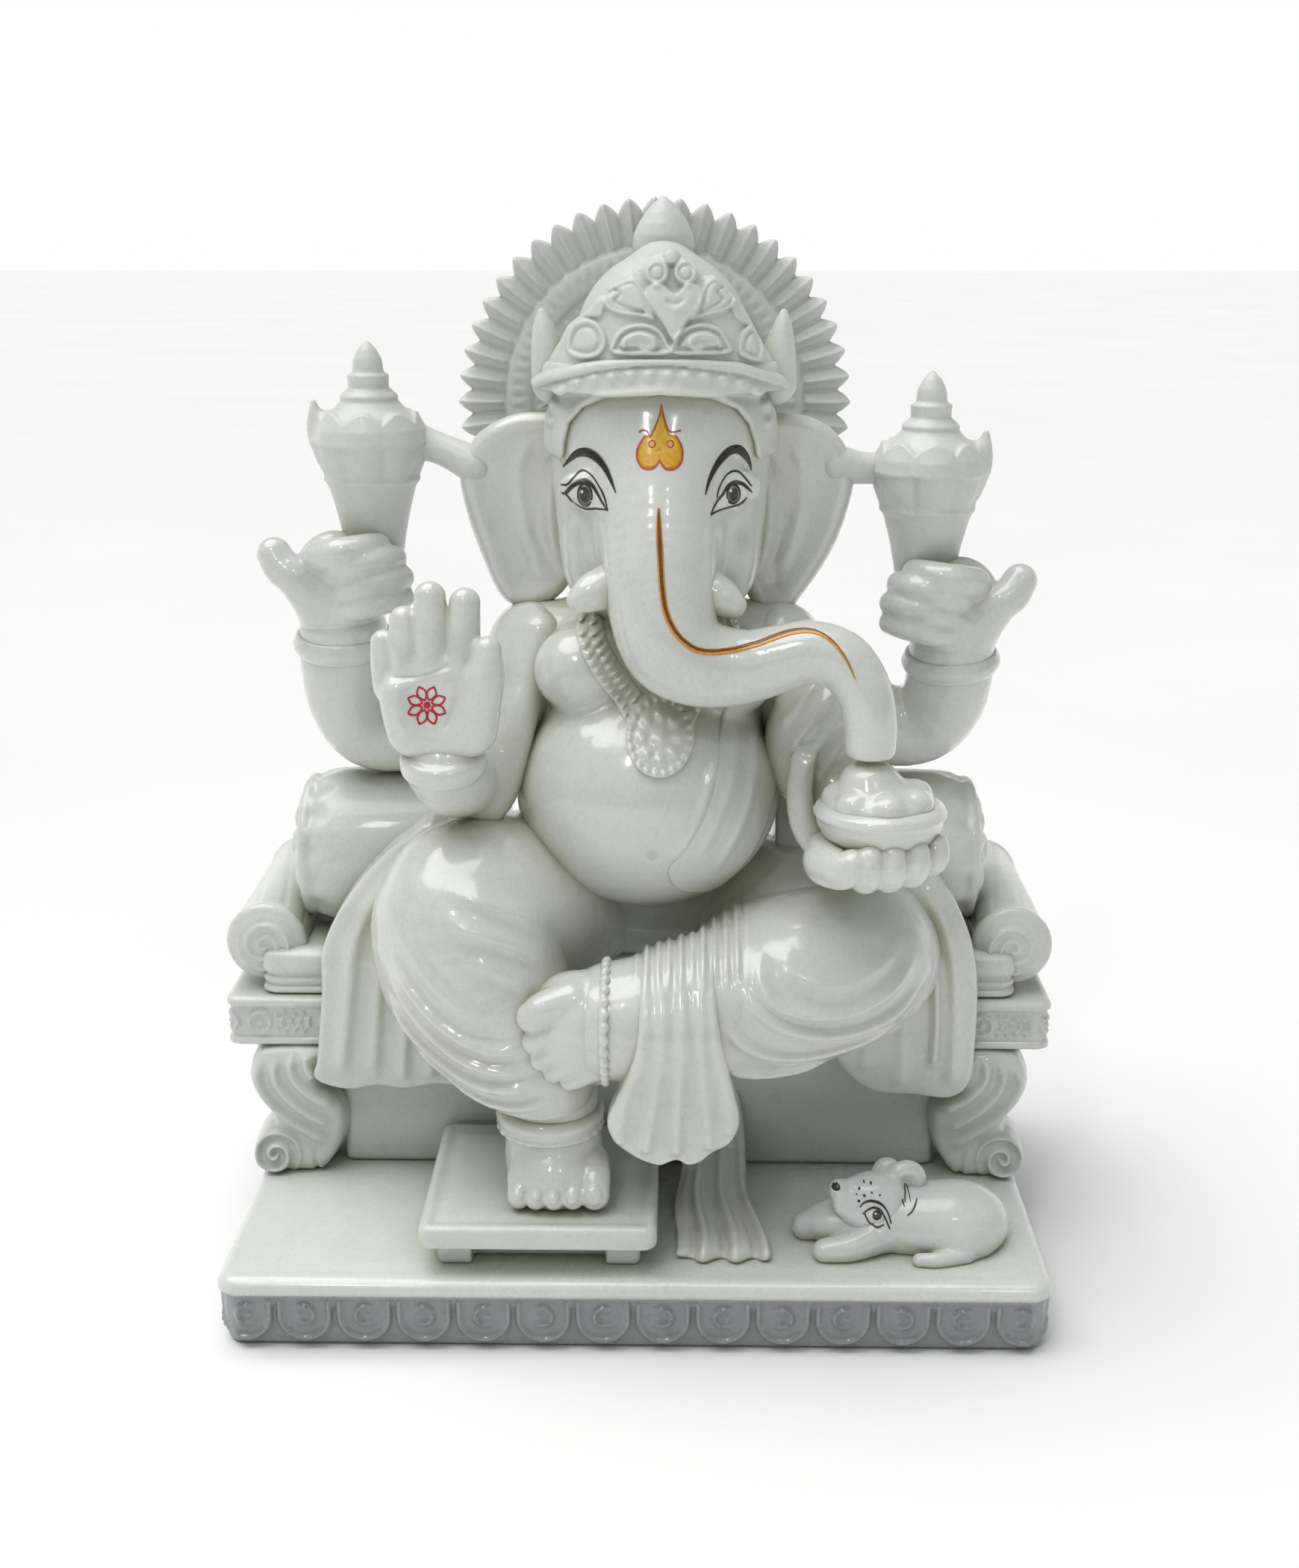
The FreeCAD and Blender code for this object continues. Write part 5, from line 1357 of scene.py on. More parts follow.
def f_stool_base(P):
    x, y, z = P[:, 0], P[:, 1], P[:, 2]
    core = rbox(P, (-26.25, -34.5, 25.25), (26.0, 26.3, 3.75), 1.5)
    feet = rbox(P, (-26.25, -37.1, 25.25), (28.1, 28.8, 3.75), 2.0)
    u = np.abs(x + 26.25)
    v = np.abs(y + 37.1)
    notch = np.minimum(smax(np.abs(u) - 17.5, 27.0 - z - 6.5 + 0.012 * u ** 2, 0.5) * 0 + (u - 17.0), 0)
    arch = smax(u - 18.5, z - 27.4 - 1.4 * np.cos(np.clip(u / 18.5, 0, 1) * math.pi / 2), 1.5)
    arch2 = smax(v - 18.5, z - 27.4 - 1.4 * np.cos(np.clip(v / 18.5, 0, 1) * math.pi / 2), 1.5)
    feet = smax(feet, -arch, 1.0)
    feet = smax(feet, -arch2, 1.0)
    d = smin(core, feet, 1.2)
    return smax(d, 21.4 - z, 0.3)


sculpt("footstool_base_carved", f_stool_base, (-56, -67.5, 20.5), (3.5, -7, 30), 0.45, ["footstool_base"], slack=1.6)


# ---------------------------------------------------------------- halo
HC = (4.2, 247.0)


def f_halo(P):
    x, y, z = P[:, 0] - HC[0], P[:, 1], P[:, 2] - HC[1]
    rad = np.sqrt(x ** 2 + z ** 2)
    a = np.arctan2(z, x)
    N = 48
    u = a / (2 * math.pi) * N
    f = u - np.round(u)
    af = np.abs(f)
    edge = 53.4 + 3.9 * (1 - (2 * af) ** 1.5)
    # second, inner row of petals set half a step round
    f2 = u + 0.5 - np.round(u + 0.5)
    af2 = np.abs(f2)
    front = np.interp(rad, [0, 6, 30, 35.2, 36.4, 38.2, 41.2, 43.0, 44.2, 48, 53, 58],
                      [36.4, 36.3, 35.4, 35.0, 33.9, 33.55, 33.55, 34.0, 35.6, 35.3, 35.2, 35.9]).astype(f32)
    band = step(rad, 43.2, 45.0)
    petal = band * (0.9 * np.exp(-(af / 0.10) ** 2) + 1.1 * (1 - 2 * af) - 0.5 * np.exp(-((af - 0.5) / 0.08) ** 2))
    inner = step(rad, 22, 26) * (1 - step(rad, 33.5, 35.4))
    lobe = 29.5 + 4.6 * (1 - (2 * af2) ** 1.6)
    fl = inner * (0.75 * np.exp(-((rad - lobe) / 0.9) ** 2) + 0.45 * np.exp(-(af2 / 0.10) ** 2) * step(lobe - rad, 0, 1.5))
    rope = np.exp(-((rad - 39.7) / 1.7) ** 2) * (0.35 * np.cos(a * 72))
    front = front - petal * 0.95 - fl - rope
    back = 39.9 - 0.012 * np.maximum(rad - 42, 0) ** 2
    d = np.maximum(front - y, y - back) * 0.82
    return smax(d, (rad - edge) * 0.72, 1.1)


sculpt("halo_petals", f_halo, (-54.5, 32, 188), (63, 41, 306), 0.5, ["halo"], slack=2.2)


STROKES = {
    "brow_l": [(-19.7, 234.3, 0.2), (-17.9, 236.4, 1.03), (-15.7, 238.4, 1.83), (-13.2, 239.1, 2.39), (-10.6, 238.3, 2.31), (-8.3, 236.2, 1.75), (-6.5, 233.3, 1.11), (-4.9, 229.8, 0.2)],
    "fold_l": [(-19.8, 230.8, 0.36), (-18.0, 231.0, 0.48), (-16.4, 232.7, 0.4), (-14.8, 234.2, 0.4), (-13.2, 234.5, 0.48), (-11.2, 233.2, 0.4), (-9.7, 231.2, 0.36), (-8.2, 228.8, 0.48), (-7.1, 225.4, 0.24)],
    "lash_l": [(-19.7, 228.5, 0.32), (-18.4, 228.8, 0.88), (-16.8, 230.5, 1.03), (-15.0, 231.6, 1.19), (-13.2, 232.0, 1.27), (-11.3, 231.0, 1.03), (-9.9, 229.0, 0.64), (-8.5, 226.8, 0.52), (-7.0, 225.1, 0.36)],
    "lower_l": [(-18.4, 228.3, 0.4), (-17.4, 227.2, 0.56), (-16.5, 225.6, 0.64), (-14.9, 224.7, 0.68), (-12.9, 224.4, 0.6), (-10.5, 224.9, 0.48), (-8.1, 225.2, 0.4), (-7.0, 225.2, 0.24)],
    "brow_r": [(18.4, 229.3, 0.24), (19.3, 232.4, 0.88), (20.8, 235.4, 1.43), (22.8, 238.0, 1.99), (25.1, 239.7, 2.23), (27.3, 239.7, 2.31), (29.0, 238.1, 1.75), (30.3, 235.9, 0.88), (30.8, 233.8, 0.2)],
    "fold_r": [(21.5, 228.1, 0.24), (21.9, 230.1, 0.36), (22.8, 232.0, 0.36), (24.2, 233.8, 0.4), (26.0, 234.5, 0.48), (27.7, 234.0, 0.4), (29.3, 232.4, 0.4), (30.7, 230.7, 0.28)],
    "lash_r": [(20.0, 224.5, 0.4), (21.3, 226.9, 0.48), (23.1, 228.9, 0.64), (24.4, 230.9, 0.8), (26.2, 231.8, 1.03), (28.2, 231.4, 0.88), (29.8, 230.1, 0.6), (30.8, 229.1, 0.32)],
    "lower_r": [(19.8, 224.1, 0.64), (21.5, 224.6, 0.48), (23.5, 224.9, 0.48), (25.9, 225.3, 0.56), (27.9, 225.9, 0.64), (29.4, 227.7, 0.36)],
    "tip_l": [(6.8, 252.0, 0.12), (6.4, 249.3, 0.36), (5.6, 247.2, 0.44), (4.6, 245.0, 0.44), (4.0, 243.7, 0.28)],
    "tip_r": [(6.8, 252.0, 0.12), (7.4, 249.3, 0.36), (8.0, 247.2, 0.44), (8.8, 245.4, 0.48), (10.4, 245.1, 0.4), (11.9, 245.5, 0.48)],
    "curl_l": [(1.0, 245.0, 0.48), (2.0, 245.5, 0.48), (3.1, 245.3, 0.4), (3.8, 244.1, 0.32)],
    "lobe_l": [(2.9, 244.4, 0.32), (1.5, 242.5, 0.44), (0.6, 240.2, 0.48), (0.9, 237.9, 0.52), (2.2, 236.4, 0.56), (4.2, 236.2, 0.56), (5.6, 237.0, 0.52), (6.4, 238.4, 0.4)],
    "lobe_r": [(6.4, 238.4, 0.4), (7.2, 237.0, 0.48), (8.5, 236.1, 0.56), (10.4, 236.2, 0.56), (12.0, 237.6, 0.52), (12.4, 239.7, 0.48), (12.0, 242.0, 0.44), (10.5, 244.4, 0.32)],
    "m_brow": [(62.6, 35.8, 0.25), (63.8, 37.0, 0.44), (65.5, 37.6, 0.63), (67.6, 37.3, 0.69), (69.3, 36.1, 0.5), (70.5, 34.1, 0.44), (71.4, 31.4, 0.38)],
    "m_upper": [(63.4, 34.1, 0.32), (64.9, 35.3, 0.44), (66.6, 36.0, 0.63), (68.3, 35.2, 0.63), (69.4, 33.4, 0.5), (71.0, 30.0, 0.41)],
    "m_lower": [(63.9, 34.3, 0.38), (64.8, 32.5, 0.44), (65.7, 31.2, 0.44), (67.5, 30.4, 0.44), (69.4, 31.0, 0.32)],
    "m_ear_a": [(75.9, 38.6, 0.25), (75.7, 37.3, 0.44), (75.5, 35.9, 0.25)],
    "m_ear_b": [(76.3, 38.5, 0.19), (76.8, 37.3, 0.25), (77.0, 36.1, 0.19)],
    "m_ear_c": [(74.7, 36.8, 0.25), (74.9, 36.0, 0.38), (75.2, 35.2, 0.25)],
    "m_ear_d": [(78.9, 36.6, 0.25), (78.3, 35.7, 0.44), (77.2, 34.4, 0.38), (75.9, 33.5, 0.25)],
}
DISCS = {
    "iris_l": (-13.3, 228.3, 2.15, 3.34),
    "pupil_l": (-13.6, 229.0, 1.07, 1.91),
    "iris_r": (25.9, 228.7, 1.95, 2.87),
    "pupil_r": (26.2, 228.8, 1.0, 1.67),
    "tear_l": (4.5, 242.2, 1.0, 1.0),
    "tear_r": (9.2, 242.2, 1.0, 1.0),
    "m_nose": (56.0, 40.9, 1.2, 0.85),
    "m_iris": (67.4, 33.8, 1.32, 1.58),
    "m_d1": (62.6, 40.1, 0.32, 0.28),
    "m_d2": (63.9, 38.7, 0.35, 0.32),
    "m_d3": (62.4, 37.3, 0.38, 0.32),
    "m_d4": (65.9, 41.1, 0.28, 0.25),
    "m_d5": (68.2, 38.9, 0.25, 0.22),
    "m_d6": (64.0, 41.2, 0.22, 0.19),
    "m_d7": (61.8, 38.9, 0.22, 0.19),
    "m_d8": (66.0, 39.4, 0.25, 0.22),
}
TILAK_FILL = [(6.8, 250.4), (7.7, 247.4), (8.9, 244.7), (10.6, 244.1), (12.0, 242.0), (12.4, 239.7), (11.9, 237.6), (10.4, 236.4), (8.5, 236.2), (7.1, 237.3), (6.4, 238.1), (5.7, 237.1), (4.2, 236.3), (2.2, 236.5), (0.9, 237.8), (0.6, 240.0), (1.3, 242.4), (2.8, 244.1), (4.5, 244.7), (5.7, 247.4)] ; TILAK_C = (6.5, 240.8)
EYE_L = [(-18.4, 228.6), (-16.8, 230.2), (-15.0, 231.4), (-13.2, 231.6), (-11.3, 230.6), (-9.9, 228.8), (-8.5, 226.6), (-7.2, 225.2), (-10.5, 224.9), (-12.9, 224.5), (-14.9, 224.7), (-16.5, 225.7), (-17.4, 227.2)]
EYE_R = [(20.0, 224.5), (21.3, 226.7), (23.1, 228.7), (24.4, 230.7), (26.2, 231.6), (28.2, 231.2), (29.8, 229.9), (29.4, 227.7), (27.8, 226.0), (25.9, 225.3), (23.5, 225.0), (21.5, 224.7)]


# ======================================================================
# Painted details: thin closed films laid on the carved surface
# ======================================================================
def tree_of(*names):
    vs, ps, off = [], [], 0
    for n in names:
        me = PIECES[n].data
        co = np.empty(len(me.vertices) * 3, dtype=f32)
        me.vertices.foreach_get("co", co)
        co = co.reshape(-1, 3) / MM
        q = np.empty(len(me.loops), dtype=np.int32)
        me.loops.foreach_get("vertex_index", q)
        vs.append(co)
        ps.append(q.reshape(-1, 4) + off)
        off += len(co)
    return BVHTree.FromPolygons(np.concatenate(vs).tolist(), np.concatenate(ps).tolist())


PAINT = {}


def drop(tree, x, z, y0=-120.0):
    hit, nor, _, _ = tree.ray_cast(Vector((x, y0, z)), Vector((0, 1, 0)))
    if hit is None:
        hit, nor, _, _ = tree.find_nearest(Vector((x, -40, z)))
    if nor.y > 0:
        nor = -nor
    return np.array(hit), np.array(nor)


def film(colour, tree, rows, lift, closed=False):
    """rows: list of lists of (x, z), all the same length."""
    V, Q = PAINT.setdefault(colour, ([], []))
    n, m = len(rows), len(rows[0])
    base = len(V)
    for side in (lift, -0.28):
        for r in rows:
            for x, z in r:
                h, nn = drop(tree, x, z)
                V.append(h + nn * side)
    def a(i, j):
        return base + i * m + (j % m)
    def b(i, j):
        return base + n * m + i * m + (j % m)
    cols = m if closed else m - 1
    for i in range(n - 1):
        for j in range(cols):
            Q.append((a(i, j), a(i, j + 1), a(i + 1, j + 1), a(i + 1, j)))
            Q.append((b(i, j), b(i + 1, j), b(i + 1, j + 1), b(i, j + 1)))
    for j in range(cols):
        Q.append((a(0, j), b(0, j), b(0, j + 1), a(0, j + 1)))
        Q.append((a(n - 1, j + 1), b(n - 1, j + 1), b(n - 1, j), a(n - 1, j)))
    if not closed:
        for i in range(n - 1):
            Q.append((a(i, 0), a(i + 1, 0), b(i + 1, 0), b(i, 0)))
            Q.append((a(i + 1, m - 1), a(i, m - 1), b(i, m - 1), b(i + 1, m - 1)))


def stroke(colour, tree, pts, lift=0.10, n=7, scale=1.0):
    c = catmull(pts, n)
    t = np.gradient(c[:, :2], axis=0)
    t /= np.maximum(np.linalg.norm(t, axis=1), 1e-6)[:, None]
    nn = np.stack([-t[:, 1], t[:, 0]], 1)
    w = np.maximum(c[:, 2] * scale, 0.08) * 0.5
    rows = [[tuple(c[i, :2] + nn[i] * w[i] * k) for k in (-1, -0.5, 0, 0.5, 1)] for i in range(len(c))]
    film(colour, tree, rows, lift)


def patch(colour, tree, loop, centre, lift=0.05, rings=6, n=4):
    loop = np.array(smooth_loop(loop, n) if n > 1 else loop)
    c = np.array(centre)
    rows = [[tuple(c + (p - c) * k) for p in loop] for k in np.linspace(1, 0.02, rings)]
    film(colour, tree, rows, lift, closed=True)


def disc(colour, tree, c, lift=0.08, s=1.0, rings=5, n=28):
    loop = [(c[0] + c[2] * s * math.cos(2 * math.pi * i / n), c[1] + c[3] * s * math.sin(2 * math.pi * i / n))
            for i in range(n)]
    patch(colour, tree, loop, c[:2], lift, rings, 1)


face = tree_of("head_and_trunk")
mouse = tree_of("mouse_head_carved", "mouse_body_carved")
palm = tree_of("blessing_hand_carved")

for side, lx in (("l", EYE_L), ("r", EYE_R)):
    c = DISCS["iris_" + side]
    patch("eye_white", face, lx, (c[0], c[1] - 0.6), 0.03)
    disc("line_black", face, c, 0.06, 1.0)
    disc("iris_grey", face, c, 0.09, 0.80)
    disc("iris_dark", face, c, 0.115, 0.60)
    disc("line_black", face, DISCS["pupil_" + side], 0.14, 0.9)
    disc("eye_glint", face, (c[0] - 0.75, c[1] + 1.0, 0.34, 0.45), 0.17)
    for k in ("brow_", "fold_", "lash_", "lower_"):
        stroke("line_black", face, STROKES[k + side], 0.15 if k == "lash_" else 0.12)

patch("tilak_yellow", face, TILAK_FILL, TILAK_C, 0.05)
for k in ("tip_l", "tip_r", "curl_l", "lobe_l", "lobe_r"):
    stroke("tilak_red", face, STROKES[k], 0.10, scale=1.05)
for k in ("tear_l", "tear_r"):
    c = DISCS[k]
    disc("tilak_red", face, c, 0.10)
    disc("tilak_gold", face, c, 0.13, 0.62)

# gold line down the middle of the trunk, with a thin dark core
LINE = [(6.3, 226.5), (6.5, 220), (6.9, 213.5), (7.3, 207.5), (8.2, 202), (9.9, 197.8), (12.5, 194.4), (16.2, 191.8),
        (20.5, 190.9), (26, 191.2), (31.5, 192.4), (36.2, 194.1), (40.5, 195.5), (44.4, 196.1), (47.6, 195.7),
        (50.6, 194.2), (53.2, 191.7), (55.4, 188.4), (57.2, 184.6)]
wl = np.interp(np.linspace(0, 1, len(LINE)), [0, 0.06, 0.45, 0.75, 0.93, 1], [0.9, 1.75, 1.55, 1.1, 0.8, 0.25])
stroke("line_gold", face, [(p[0], p[1], w) for p, w in zip(LINE, wl)], 0.08)
wd = np.interp(np.linspace(0, 1, len(LINE)), [0, 0.05, 0.5, 0.8, 1], [0.4, 0.95, 0.6, 0.3, 0.08])
stroke("line_brown", face, [(p[0], p[1] + 0.3, w) for p, w in zip(LINE, wd)], 0.13)

# generic eight-petal flower on the palm
PC = (-54.6, 175.6)
for k in range(8):
    a = 2 * math.pi * k / 8 + math.pi / 8
    ca, sa = math.cos(a), math.sin(a)
    prof = [(1.3, 0), (2.5, 0.95), (3.9, 1.1), (5.3, 0.0)]
    pts = [(PC[0] + r * ca - t * sa, PC[1] + r * sa + t * ca, 0.5) for r, t in prof]
    stroke("palm_red", palm, pts, 0.09, 5)
    pts = [(PC[0] + r * ca + t * sa, PC[1] + r * sa - t * ca, 0.5) for r, t in prof]
    stroke("palm_red", palm, pts, 0.09, 5)
disc("palm_red", palm, (PC[0], PC[1], 0.95, 0.95), 0.09)

for k in ("m_brow", "m_upper", "m_lower", "m_ear_a", "m_ear_b", "m_ear_c", "m_ear_d"):
    stroke("line_black", mouse, STROKES[k], 0.10)
disc("eye_white", mouse, (67.0, 33.1, 2.5, 2.0), 0.03)
disc("line_black", mouse, DISCS["m_iris"], 0.08)
disc("iris_dark", mouse, DISCS["m_iris"], 0.10, 0.7)
disc("eye_glint", mouse, (67.0, 34.3, 0.32, 0.32), 0.14)
disc("line_black", mouse, DISCS["m_nose"], 0.08)
for k in range(1, 9):
    disc("line_black", mouse, DISCS["m_d%d" % k], 0.08, 1.1, 3, 12)

PAINT_OBJ = {}
for colour, (V, Q) in PAINT.items():
    o = mesh_object("painted_" + colour, np.array(V), np.array(Q))
    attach(o, "root")
    PAINT_OBJ[colour] = o


# ======================================================================
# Materials
# ======================================================================
class Nodes:
    def __init__(self, name):
        self.mat = bpy.data.materials.new(name)
        self.mat.use_nodes = True
        self.nt = self.mat.node_tree
        self.bsdf = self.nt.nodes["Principled BSDF"]

    def new(self, kind, **kw):
        n = self.nt.nodes.new(kind)
        for k, v in kw.items():
            setattr(n, k, v)
        return n

    def link(self, a, b):
        self.nt.links.new(a, b)

    def noise(self, co, scale, detail=4.0, rough=0.5, dist=0.0):
        n = self.new("ShaderNodeTexNoise")
        n.inputs["Scale"].default_value = scale
        n.inputs["Detail"].default_value = detail
        n.inputs["Roughness"].default_value = rough
        n.inputs["Distortion"].default_value = dist
        self.link(co, n.inputs["Vector"])
        return n.outputs["Fac"]

    def ramp(self, fac, stops):
        r = self.new("ShaderNodeValToRGB")
        e = r.color_ramp.elements
        while len(e) < len(stops):
            e.new(0.5)
        for el, (p, c) in zip(e, stops):
            el.position = p
            el.color = (*c, 1.0) if len(c) == 3 else c
        self.link(fac, r.inputs["Fac"])
        return r.outputs["Color"]

    def mix(self, fac, a, b, blend="MIX"):
        m = self.new("ShaderNodeMix", data_type="RGBA", blend_type=blend)
        for sock, v in ((m.inputs[0], fac), (m.inputs[6], a), (m.inputs[7], b)):
            if isinstance(v, (int, float)):
                sock.default_value = v
            elif isinstance(v, tuple):
                sock.default_value = (*v, 1.0)
            else:
                self.link(v, sock)
        return m.outputs[2]

    def bump(self, height, dist, strength=1.0, under=None):
        b = self.new("ShaderNodeBump")
        b.inputs["Distance"].default_value = dist
        b.inputs["Strength"].default_value = strength
        self.link(height, b.inputs["Height"])
        if under is not None:
            self.link(under, b.inputs["Normal"])
        return b.outputs["Normal"]


def marble(name, lit, shade, crease_shade_tint, rough, coat, mott, seed, bump=1.0, ao_dist=0.016, band=None):
    m = Nodes(name)
    co = m.new("ShaderNodeTexCoord").outputs["Object"]
    mp = m.new("ShaderNodeMapping")
    mp.inputs["Location"].default_value = (seed, seed * 0.7, seed * 1.3)
    m.link(co, mp.inputs["Vector"])
    co = mp.outputs["Vector"]
    # cloudy body colour of a marble-dust casting
    cloud = m.noise(co, 28, 5, 0.55, 0.6)
    body = m.ramp(cloud, [(0.30, shade), (0.62, lit)])
    # faint veins
    v = m.noise(co, 16, 7, 0.6, 2.2)
    vein = m.ramp(v, [(0.478, (0, 0, 0)), (0.497, (1, 1, 1)), (0.516, (0, 0, 0))])
    body = m.mix(0.0, body, body)
    vm = m.new("ShaderNodeMath", operation="MULTIPLY")
    m.link(vein, vm.inputs[0])
    vm.inputs[1].default_value = mott
    body = m.mix(vm.outputs[0], body, tuple(c * 0.90 for c in shade))
    # fine dust speckle
    sp = m.noise(co, 900, 2, 0.5)
    spk = m.ramp(sp, [(0.30, (0.955, 0.955, 0.945)), (0.55, (1, 1, 1))])
    body = m.mix(1.0, body, spk, "MULTIPLY")
    # painted shade: ambient occlusion mixes a warmer, darker tint into the creases
    ao = m.new("ShaderNodeAmbientOcclusion", samples=6)
    ao.inputs["Distance"].default_value = ao_dist
    crease_shade_mask = m.ramp(ao.outputs["AO"], [(0.28, (1, 1, 1)), (0.86, (0, 0, 0))])
    body = m.mix(crease_shade_mask, body, m.mix(1.0, body, crease_shade_tint, "MULTIPLY"))
    if band:
        # painted shade: below the lip the plinth is darkened to a cooler grey than the deck
        raw = m.new("ShaderNodeTexCoord").outputs["Object"]
        zz = m.new("ShaderNodeSeparateXYZ")
        m.link(raw, zz.inputs[0])
        low_band_shade = m.new("ShaderNodeMapRange")
        low_band_shade.inputs["From Min"].default_value = band[0]
        low_band_shade.inputs["From Max"].default_value = band[1]
        low_band_shade.inputs["To Min"].default_value = 1.0
        low_band_shade.inputs["To Max"].default_value = 0.0
        m.link(zz.outputs["Z"], low_band_shade.inputs["Value"])
        body = m.mix(low_band_shade.outputs["Result"], body, m.mix(1.0, body, band[2], "MULTIPLY"))
    m.link(body, m.bsdf.inputs["Base Color"])
    # uneven polish
    rn = m.noise(co, 55, 4, 0.6)
    rr = m.new("ShaderNodeMapRange")
    rr.inputs["From Min"].default_value = 0.3
    rr.inputs["From Max"].default_value = 0.7
    rr.inputs["To Min"].default_value = rough - 0.05
    rr.inputs["To Max"].default_value = rough + 0.10
    m.link(rn, rr.inputs["Value"])
    m.link(rr.outputs["Result"], m.bsdf.inputs["Roughness"])
    n1 = m.bump(m.noise(co, 75, 3, 0.5), 0.00050 * bump)
    n2 = m.bump(m.noise(co, 420, 3, 0.6), 0.00005 * bump, 1.0, n1)
    m.link(n2, m.bsdf.inputs["Normal"])
    b = m.bsdf.inputs
    b["Coat Weight"].default_value = coat
    b["Coat Roughness"].default_value = 0.06
    b["IOR"].default_value = 1.50
    b["Subsurface Weight"].default_value = 0.22
    b["Subsurface Radius"].default_value = (1.0, 0.92, 0.70)
    b["Subsurface Scale"].default_value = 0.0035
    return m.mat


LIT = (0.715, 0.730, 0.698)
SHADE = (0.655, 0.675, 0.638)
# painted shade colour, multiplied into the creases where ambient occlusion finds them
CREASE_SHADE_TINT = (0.80, 0.80, 0.655)
# the fourth argument of each marble() material is its painted crease shade colour
M_FIG = marble("resin_marble_figure", LIT, SHADE, CREASE_SHADE_TINT, 0.18, 0.65, 0.25, 1.7)
M_CROWN = marble("resin_marble_crown", (0.70, 0.715, 0.688), SHADE, (0.66, 0.675, 0.58), 0.42, 0.10, 0.25, 3.1, 1.2, 0.010)
M_THRONE = marble("resin_marble_throne", (0.705, 0.725, 0.696), (0.65, 0.67, 0.64), (0.72, 0.73, 0.64), 0.30, 0.35, 0.35, 5.3)
# band paints shade: plinth colour darkened and cooled in full below 15 mm, fading out by 17.8 mm
M_PLINTH = marble("resin_marble_plinth", (0.735, 0.755, 0.722), (0.70, 0.722, 0.69), (0.735, 0.755, 0.65), 0.24, 0.45, 0.12, 7.9,
                   band=(0.0150, 0.0178, (0.40, 0.43, 0.465)))
M_MOUSE = marble("resin_marble_mouse", (0.72, 0.74, 0.72), (0.67, 0.69, 0.675), CREASE_SHADE_TINT, 0.24, 0.45, 0.20, 9.2)

for o in ALL:
    n = o.name
    if n.startswith(("crown", "halo", "lotus", "strut")):
        mat = M_CROWN
    elif n.startswith("plinth"):
        mat = M_PLINTH
    elif n.startswith("mouse"):
        mat = M_MOUSE
    elif n.startswith(("throne", "leg_", "seat", "armrest", "bolster", "footstool")):
        mat = M_THRONE
    else:
        mat = M_FIG
    o.data.materials.clear()
    o.data.materials.append(mat)


def paint(name, colour, dark, rough, coat=0.3):
    m = Nodes("paint_" + name)
    co = m.new("ShaderNodeTexCoord").outputs["Object"]
    c = m.ramp(m.noise(co, 900, 3, 0.6), [(0.35, dark), (0.65, colour)])
    # brush drag
    c2 = m.ramp(m.noise(co, 240, 5, 0.7, 1.0), [(0.30, (0.86, 0.86, 0.86)), (0.60, (1, 1, 1))])
    m.link(m.mix(1.0, c, c2, "MULTIPLY"), m.bsdf.inputs["Base Color"])
    rr = m.new("ShaderNodeMapRange")
    rr.inputs["To Min"].default_value = rough - 0.06
    rr.inputs["To Max"].default_value = rough + 0.12
    m.link(m.noise(co, 500, 2), rr.inputs["Value"])
    m.link(rr.outputs["Result"], m.bsdf.inputs["Roughness"])
    m.link(m.bump(m.noise(co, 1500, 2), 0.00002), m.bsdf.inputs["Normal"])
    m.bsdf.inputs["Coat Weight"].default_value = coat
    m.bsdf.inputs["Coat Roughness"].default_value = 0.12
    return m.mat


COL = {"eye_white": ((0.80, 0.80, 0.76), (0.72, 0.71, 0.67), 0.25),
       "line_black": ((0.030, 0.032, 0.026), (0.012, 0.012, 0.010), 0.35),
       "iris_grey": ((0.22, 0.20, 0.15), (0.13, 0.12, 0.09), 0.25),
       "iris_dark": ((0.050, 0.042, 0.040), (0.030, 0.026, 0.024), 0.2),
       "eye_glint": ((0.80, 0.82, 0.84), (0.75, 0.77, 0.80), 0.2),
       "tilak_yellow": ((0.78, 0.47, 0.030), (0.66, 0.37, 0.020), 0.3),
       "tilak_gold": ((0.86, 0.50, 0.12), (0.74, 0.38, 0.08), 0.3),
       "tilak_red": ((0.55, 0.085, 0.020), (0.42, 0.06, 0.018), 0.32),
       "line_gold": ((0.74, 0.36, 0.055), (0.62, 0.27, 0.035), 0.3),
       "line_brown": ((0.20, 0.070, 0.012), (0.13, 0.045, 0.010), 0.35),
       "palm_red": ((0.56, 0.012, 0.022), (0.44, 0.010, 0.018), 0.35)}
for k, o in PAINT_OBJ.items():
    c = COL[k]
    o.data.materials.append(paint(k, *c))

# ======================================================================
# Camera, floor and light
# ======================================================================
scene = bpy.context.scene
cam = bpy.data.objects.new("camera", bpy.data.cameras.new("camera"))
scene.collection.objects.link(cam)
cam.location = (0.0114, -0.513, 0.297)
cam.rotation_euler = (math.radians(90 - 16.94), 0, math.radians(0.9))
cam.data.lens = 42.26
cam.data.sensor_width = 36.0
cam.data.clip_start = 0.01
cam.data.clip_end = 50
scene.camera = cam

floor = bpy.data.objects.new("floor", bpy.data.meshes.new("floor"))
floor.data.from_pydata([(-12, -12, 0), (12, -12, 0), (12, 12, 0), (-12, 12, 0)], [], [(0, 1, 2, 3)])
scene.collection.objects.link(floor)
fm = Nodes("floor_paper")
fco = fm.new("ShaderNodeTexCoord").outputs["Object"]
fm.link(fm.ramp(fm.noise(fco, 3.0, 3), [(0.3, (0.90, 0.90, 0.90)), (0.7, (0.93, 0.93, 0.93))]), fm.bsdf.inputs["Base Color"])
fm.bsdf.inputs["Roughness"].default_value = 0.9
floor.data.materials.append(fm.mat)

world = bpy.data.worlds.new("studio")
world.use_nodes = True
bg = world.node_tree.nodes["Background"]
